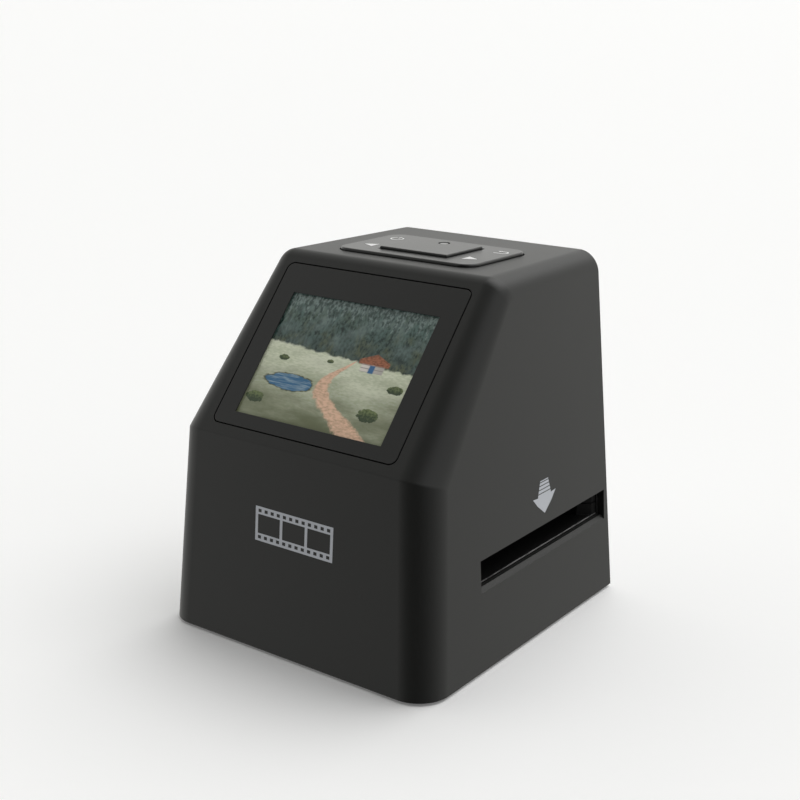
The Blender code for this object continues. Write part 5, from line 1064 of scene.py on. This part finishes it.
def make_centre_key():
    top = BODY_HEIGHT + KEY_RISE
    bottom = top - KEY_HEAD_HEIGHT
    y = KEY_CENTRE_Y
    head = soft_slab(0, y, bottom, top, KEY_WIDTH, KEY_DEPTH, KEY_EDGE_RADIUS)
    head = rounded_rim(head, top, KEY_RIM)
    flange_width = KEY_WIDTH + 2 * KEY_FLANGE
    flange_depth = KEY_DEPTH - 4 * KEY_EDGE_RADIUS
    flange = slab(0, y, bottom, bottom + KEY_FLANGE_THICKNESS, flange_width, flange_depth)
    hollow = slab(0, y, bottom - OVERRUN, top - KEY_WALL, KEY_WIDTH, KEY_DEPTH, -KEY_WALL)
    stem = slab(0, PAD_CENTRE_Y, STEM_BOTTOM, top - KEY_WALL / 2, KEY_STEM_SIZE, KEY_STEM_SIZE)
    hole = rod(LIGHT_HOLE_RADIUS, (0, LIGHT_Y, bottom - OVERRUN), (0, LIGHT_Y, top + OVERRUN))
    piece = simplified(without(united(without(united(head, flange), hollow), stem), hole))
    finished("ok_key", piece, BODY, "keys", KEY_EDGE, ["centre_key"], "centre_key")


# Screws, with their heads at -Z and their tips at +Z


def fine_screw(length):
    head, shank = HEAD_RADIUS, SCREW_SHANK_RADIUS
    root = shank * THREAD_ROOT_SHARE
    profile = [(0, -HEAD_HEIGHT)]
    for k in range(HEAD_STEPS + 1):
        angle = k / HEAD_STEPS * pi / 2
        radius = head * (HEAD_FLAT_SHARE + (1 - HEAD_FLAT_SHARE) * sin(angle))
        height = HEAD_HEIGHT * (HEAD_RIM_SHARE + (1 - HEAD_RIM_SHARE) * cos(angle))
        profile.append((radius, -height))
    profile += [(head, 0), (shank, 0), (shank, THREAD_PITCH)]
    for k in range(int(length / THREAD_PITCH) - PLAIN_PITCHES):
        z = THREAD_PITCH * (k + 1)
        profile += [(root, z + THREAD_PITCH / 3), (root, z + THREAD_PITCH / 2), (shank, z + THREAD_PITCH)]
    profile += [(root, length - THREAD_PITCH), (0, length)]
    low, high = -HEAD_HEIGHT - OVERRUN, RECESS_DEPTH - HEAD_HEIGHT
    size = (RECESS_LENGTH, RECESS_WIDTH)
    cross = united(slab(0, 0, low, high, *size), slab(0, 0, low, high, *size[::-1]))
    return without(turned(profile, SCREW_SIDES), cross)


def add_screws(name, length, places, direction, matrix=BODY, replaces=()):
    """Screws of one length. Their places are under their heads."""
    turn = turn_to(direction)
    screws = [placed(fine_screw(length), Matrix.Translation(place) @ turn) for place in places]
    finished(name, gathered(screws), matrix, "steel", replaces=replaces)


def make_screws():
    up, down = (0, 0, 1), (0, 0, -1)
    for name, (x, y) in zip(("front_left", "front_right", "rear_left", "rear_right"), POSTS):
        places, replaced = [(x, y, SCREW_SEAT)], [f"base_screw_{name}"]
        add_screws(f"base_cross_screw_{name}", CASE_SCREW, places, up, BODY, replaced)
    for name, (x, z) in zip(("lower_left", "lower_right", "upper_left", "upper_right"), REAR_BOSSES):
        places, replaced = [(x, -SCREW_SEAT, z)], [f"rear_screw_{name}"]
        add_screws(f"rear_cross_screw_{name}", CASE_SCREW, places, (0, -1, 0), REAR, replaced)
    under_board = KEY_BOARD_TOP - KEY_BOARD_THICKNESS - GAP
    places = [(x, y, under_board) for x, y in TOP_BOSSES]
    add_screws("key_board_screws", BOARD_SCREW, places, up)
    places = mirrored([(CARRIER_SCREW_X, PAD_CENTRE_Y, under_board)])
    add_screws("carrier_screws", SHORT_SCREW, places, up)
    places = four_places(CHAMBER_SCREW_X, SLOT_CENTRE_Y, CHAMBER_SCREW_REACH, CHAMBER_FLANGE_TOP + GAP)
    add_screws("chamber_screws", SHORT_SCREW, places, down)
    places = four_places(SENSOR_SCREW_PLACE, SLOT_CENTRE_Y, SENSOR_SCREW_PLACE, SENSOR_BOARD_TOP + GAP)
    add_screws("sensor_board_screws", BOARD_SCREW, places, down)
    places = [(GAP - MAIN_BOARD_X, y, z) for y, z in MAIN_SCREWS]
    add_screws("main_board_screws", SHORT_SCREW, places, (-1, 0, 0))
    places = [(x, rise, -BRACKET_BACK - GAP) for x, rise in LCD_POSTS]
    add_screws("lcd_screws", SHORT_SCREW, places, up, SLOPE)


# Detent


def make_spring():
    """A round-wired twin of the detent's spring."""
    low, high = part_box("detent_spring")
    coil_radius = (high[0] - low[0]) / 2 - SPRING_WIRE_RADIUS
    start = low[2] + SPRING_WIRE_RADIUS
    rise = high[2] - low[2] - 2 * SPRING_WIRE_RADIUS
    count = SPRING_TURNS * SPRING_TURN_POINTS
    wire = arc(SPRING_WIRE_RADIUS, 0, 360, SPRING_WIRE_SIDES)[:-1]
    rings = []
    for k in range(count + 1):
        angle = tau * k / SPRING_TURN_POINTS
        outward = Vector((cos(angle), sin(angle), 0))
        centre = Vector(((low[0] + high[0]) / 2, (low[1] + high[1]) / 2, start + rise * k / count))
        rings.append([centre + outward * (coil_radius + out) + Vector((0, 0, up)) for out, up in wire])
    coil = finished("detent_coil", tube(rings), WORLD, "steel", replaces=["detent_spring"])
    coil.modifiers.clear()
    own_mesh(coil)


# Prints


def strip(points, width):
    """The outline of a line of even width through flat points."""
    points = [Vector(point) for point in points]
    left, right = [], []
    for before, point, after in zip([points[0], *points], points, [*points[1:], points[-1]]):
        along = (after - before).normalized()
        across = Vector((-along.y, along.x)) * width / 2
        left.append(point + across)
        right.append(point - across)
    return left + right[::-1]


def arc(radius, start, end, steps=ARC_STEPS, centre=(0, 0)):
    """Points of an arc, with its angles in degrees."""
    angles = [radians(start + (end - start) * k / steps) for k in range(steps + 1)]
    return [(centre[0] + radius * cos(a), centre[1] + radius * sin(a)) for a in angles]


def make_print(name, outlines, matrix, slot, material, body="root"):
    heights = (PRINT_SINK, PRINT_TOP)
    marks = [tube([[(*point, z) for point in outline] for z in heights]) for outline in outlines]
    finished(name, gathered(marks), matrix, slot, body=body, material=material)


def make_pad_print(name, outlines, x, y):
    matrix = PIVOT @ Matrix.Translation((x, y - PAD_CENTRE_Y, PAD_RISE + PIVOT_DEPTH))
    make_print(name, outlines, matrix, "keys", PAD_PRINT, "rocker_plate")


def make_pad_prints():
    ring = strip(arc(ICON_RADIUS, *POWER_RING), ICON_LINE)
    bar = strip([(0, ICON_RADIUS * share) for share in POWER_BAR], ICON_LINE)
    make_pad_print("power_mark", [ring, bar], -ICON_X, ICON_BACK_Y)
    for name, side in (("left_mark", -1), ("right_mark", 1)):
        half = TRIANGLE_SIZE / 2
        triangle = [(side * half, 0), (-side * half, half), (-side * half, -half)]
        make_pad_print(name, [triangle], side * ICON_X, ICON_FRONT_Y)
    start, middle, neck, end = [ICON_RADIUS * share for share in BACK_MARK_XS]
    bend = ICON_RADIUS * BACK_MARK_BEND
    hook = strip([(start, -bend), *arc(bend, -90, 90, centre=(middle, 0)), (end, bend)], ICON_LINE)
    half, length = ICON_LINE * BACK_MARK_HEAD[0], ICON_LINE * BACK_MARK_HEAD[1]
    head = [(neck, bend + half), (neck, bend - half), (neck - length, bend)]
    make_pad_print("back_mark", [hook, head], BACK_MARK_X, ICON_BACK_Y)


def make_slot_arrow():
    """An arrow over the slot's right end: a head that points down, and bars above it."""
    outlines = [[*ARROW_HALF, *[(-x, z) for x, z in ARROW_HALF[:0:-1]]]]
    stem, neck = ARROW_HALF[-1]
    bottom = neck + ARROW_BAR_GAP
    for height in ARROW_BARS:
        outline = []
        for side, z in ((-1, bottom), (1, bottom), (1, bottom + height), (-1, bottom + height)):
            half = stem + (ARROW_TOP_HALF - stem) * ((z - neck) / (ARROW_TOP - neck))
            outline.append((side * half, z))
        outlines.append(outline)
        bottom += height + ARROW_BAR_GAP
    place = (side_x(ARROW_Y, ARROW_TIP_Z), ARROW_Y, ARROW_TIP_Z)
    make_print("slot_arrow", outlines, wall_frame(place, SIDE_NORMAL), "case", SILVER_PRINT)


def row(count, pitch, y, width, height):
    """Cutters in a row, evenly spaced about the middle."""
    return [slab((k - (count - 1) / 2) * pitch, y, -BITE, BITE, width, height) for k in range(count)]


def make_film_sign():
    """A plain strip of film on the front: a band with sprocket holes and three frames."""
    band = slab(0, 0, PRINT_SINK, PRINT_TOP, FILM_FRAMES * FILM_PITCH + FILM_BORDER, FILM_HEIGHT)
    holes = row(FILM_FRAMES, FILM_PITCH, 0, FILM_PITCH - FILM_BORDER, FILM_FRAME_HEIGHT)
    count, pitch = FILM_FRAMES * FILM_HOLES_PER_FRAME, FILM_PITCH / FILM_HOLES_PER_FRAME
    for side in (-1, 1):
        y = side * (FILM_HEIGHT / 2 - FILM_HOLE_FROM_EDGE)
        holes += row(count, pitch, y, FILM_HOLE_WIDTH, FILM_HOLE_HEIGHT)
    matrix = wall_frame((FILM_X, front_y(FILM_Z), FILM_Z), (0, -1, FRONT_SLANT))
    finished("film_sign", without(band, gathered(holes)), matrix, "case", material=SILVER_PRINT)


# Pieces whose shape the construction gives


def soften(node, slot, edge=INNER_EDGE, body="root", material=None):
    """A twin of a node with its edges softened."""
    piece = bmesh.new()
    piece.from_mesh(frame["nodes"][node].data)
    finished(f"{node}_moulding", simplified(piece), WORLD, slot, edge, [node], body, material)


def make_softened_pieces():
    soften("film_guide_lower", "inner_case", material=rail_highlight_material())
    for node in ("film_guide_upper", "light_chamber", "lens_holder", "key_carrier"):
        soften(node, "inner_case")
    soften("rocker_ring", "inner_case", METAL_EDGE, "rocker_ring")
    soften("rear_cover", "case")
    soften("base_plate", "case")
    soften("light_box", "white_plastic")
    soften("usb_socket", "sheet_steel", METAL_EDGE)
    soften("sd_card_socket", "sheet_steel", METAL_EDGE)


def coat_nodes():
    boards = (
        ("key_board", "Z", FOOT_STAND + KEY_BOARD_TOP + WELD, BLACK_PART),
        ("backlight_board", "Z", FOOT_STAND + BACKLIGHT_BOARD_TOP + WELD, WHITE_PART),
        ("main_board", "X", WELD - MAIN_BOARD_X, WHITE_PART),
        ("sensor_board", "Z", BODY_HEIGHT, BLACK_PART),
    )
    masks = {node: board_material(f"{node}_mask", *settings) for node, *settings in boards}
    for subpart in frame["record"]["subparts"]:
        node = subpart["node"]
        coat(frame["nodes"][node], masks.get(node) or FINISHES[subpart["material_slot"]])


# Camera, light and floor

CAMERA_PLACE = (0.2393, -0.30777, 0.17203 + FOOT_STAND)
CAMERA_RIGHT = Vector((0.788619, 0.614876, 0.002834))
CAMERA_BACK = Vector((0.590429, -0.758535, 0.275713))
LENS_MILLIMETRES = 65.77
FLOOR_REACH = 40
# Soft lamps: azimuth, 0 behind the scanner and 90 on its right, elevation and strength
LAMPS = {"top_light": (20, 62, 1.6), "right_light": (100, 25, 0.5)}
LAMP_SPREAD = 60
# The studio's dome: its strength behind the camera, on both sides and opposite the camera
DOME_NEAR = 0.02
DOME_SIDES = 0.68
DOME_FAR = 1.14
# Where it changes, as the cosine of the angle to the camera's side
DOME_NEAR_EDGE = (0.05, 0.72)
DOME_FAR_EDGE = (-0.9, -0.5)
# How much of that it has low down, at the horizon, and high up as a share of the horizon's
DOME_LOW = 0.8
DOME_BAND = 1.25
DOME_HIGH = 0.68
# Where that changes, as the sine of the elevation
DOME_LOW_EDGE = (-0.4, -0.1)
DOME_HIGH_EDGE = (0.05, 0.6)
DOME_COLOUR = (1, 1, 0.97)
BACKDROP = (0.97, 0.97, 0.97)
# How much whiter the floor is for the camera alone
FLOOR_LIFT = 0.09


def make_camera():
    camera = linked("photo_camera", tuned(bpy.data.cameras.new("photo_camera"), lens=LENS_MILLIMETRES))
    up = CAMERA_BACK.cross(CAMERA_RIGHT)
    camera.matrix_world = Matrix.Translation(CAMERA_PLACE) @ frame_of(CAMERA_RIGHT, up, CAMERA_BACK)
    bpy.context.scene.camera = camera
    bpy.context.scene.view_settings.view_transform = "Standard"


def camera_rays(tree):
    return Field(tree.nodes.new("ShaderNodeLightPath").outputs["Is Camera Ray"])


def make_floor():
    piece = bmesh.new()
    bmesh.ops.create_grid(piece, x_segments=1, y_segments=1, size=FLOOR_REACH)
    floor = linked("floor", as_mesh(piece, "floor"))
    floor.visible_glossy = False
    material = surface("pale_floor", (0.93, 0.93, 0.93), 0.7, 0.004, 0.00002, clouding=0.005, cloud=0.4)
    tree = material.node_tree
    feed(tree.nodes["Principled BSDF"], {"Emission Strength": camera_rays(tree) * FLOOR_LIFT})
    coat(floor, material)


def make_lamps():
    for name, (azimuth, elevation, strength) in LAMPS.items():
        lamp = tuned(bpy.data.lights.new(name, "SUN"), energy=strength, angle=radians(LAMP_SPREAD))
        turn = (90 - elevation, 0, 180 - azimuth)
        linked(name, lamp).rotation_euler = [radians(angle) for angle in turn]


def make_dome():
    """A white dome, dim on the photographer's side and bright behind the scanner."""
    world = bpy.data.worlds.new("studio")
    bpy.context.scene.world = world
    world.use_nodes = True
    tree = world.node_tree
    direction = tree.nodes.new("ShaderNodeTexCoord").outputs["Generated"]
    inputs = {0: direction, 1: CAMERA_BACK}
    towards = add_node(tree, "ShaderNodeVectorMath", inputs, operation="DOT_PRODUCT")
    place = Field(towards.outputs["Value"])
    sides = place.step(*DOME_NEAR_EDGE).between(DOME_SIDES, DOME_NEAR)
    strength = sides + place.step(*DOME_FAR_EDGE).between(DOME_FAR - DOME_SIDES, 0)
    height = coordinate(direction, "Z")
    low = height.step(*DOME_LOW_EDGE).between(DOME_LOW, DOME_BAND)
    high = height.step(*DOME_HIGH_EDGE).between(1, DOME_HIGH)
    dome = tree.nodes["Background"]
    feed(dome, {"Strength": strength * (low * high), "Color": DOME_COLOUR})
    backdrop = add_node(tree, "ShaderNodeBackground", {"Color": BACKDROP})
    inputs = {0: camera_rays(tree), 1: dome.outputs[0], 2: backdrop.outputs[0]}
    choice = add_node(tree, "ShaderNodeMixShader", inputs)
    feed(tree.nodes["World Output"], {"Surface": choice.outputs["Shader"]})


make_camera()
make_floor()
make_lamps()
make_dome()
make_hood()
make_screen()
make_key_pad()
make_centre_key()
make_screws()
make_spring()
make_pad_prints()
make_slot_arrow()
make_film_sign()
make_softened_pieces()
coat_nodes()
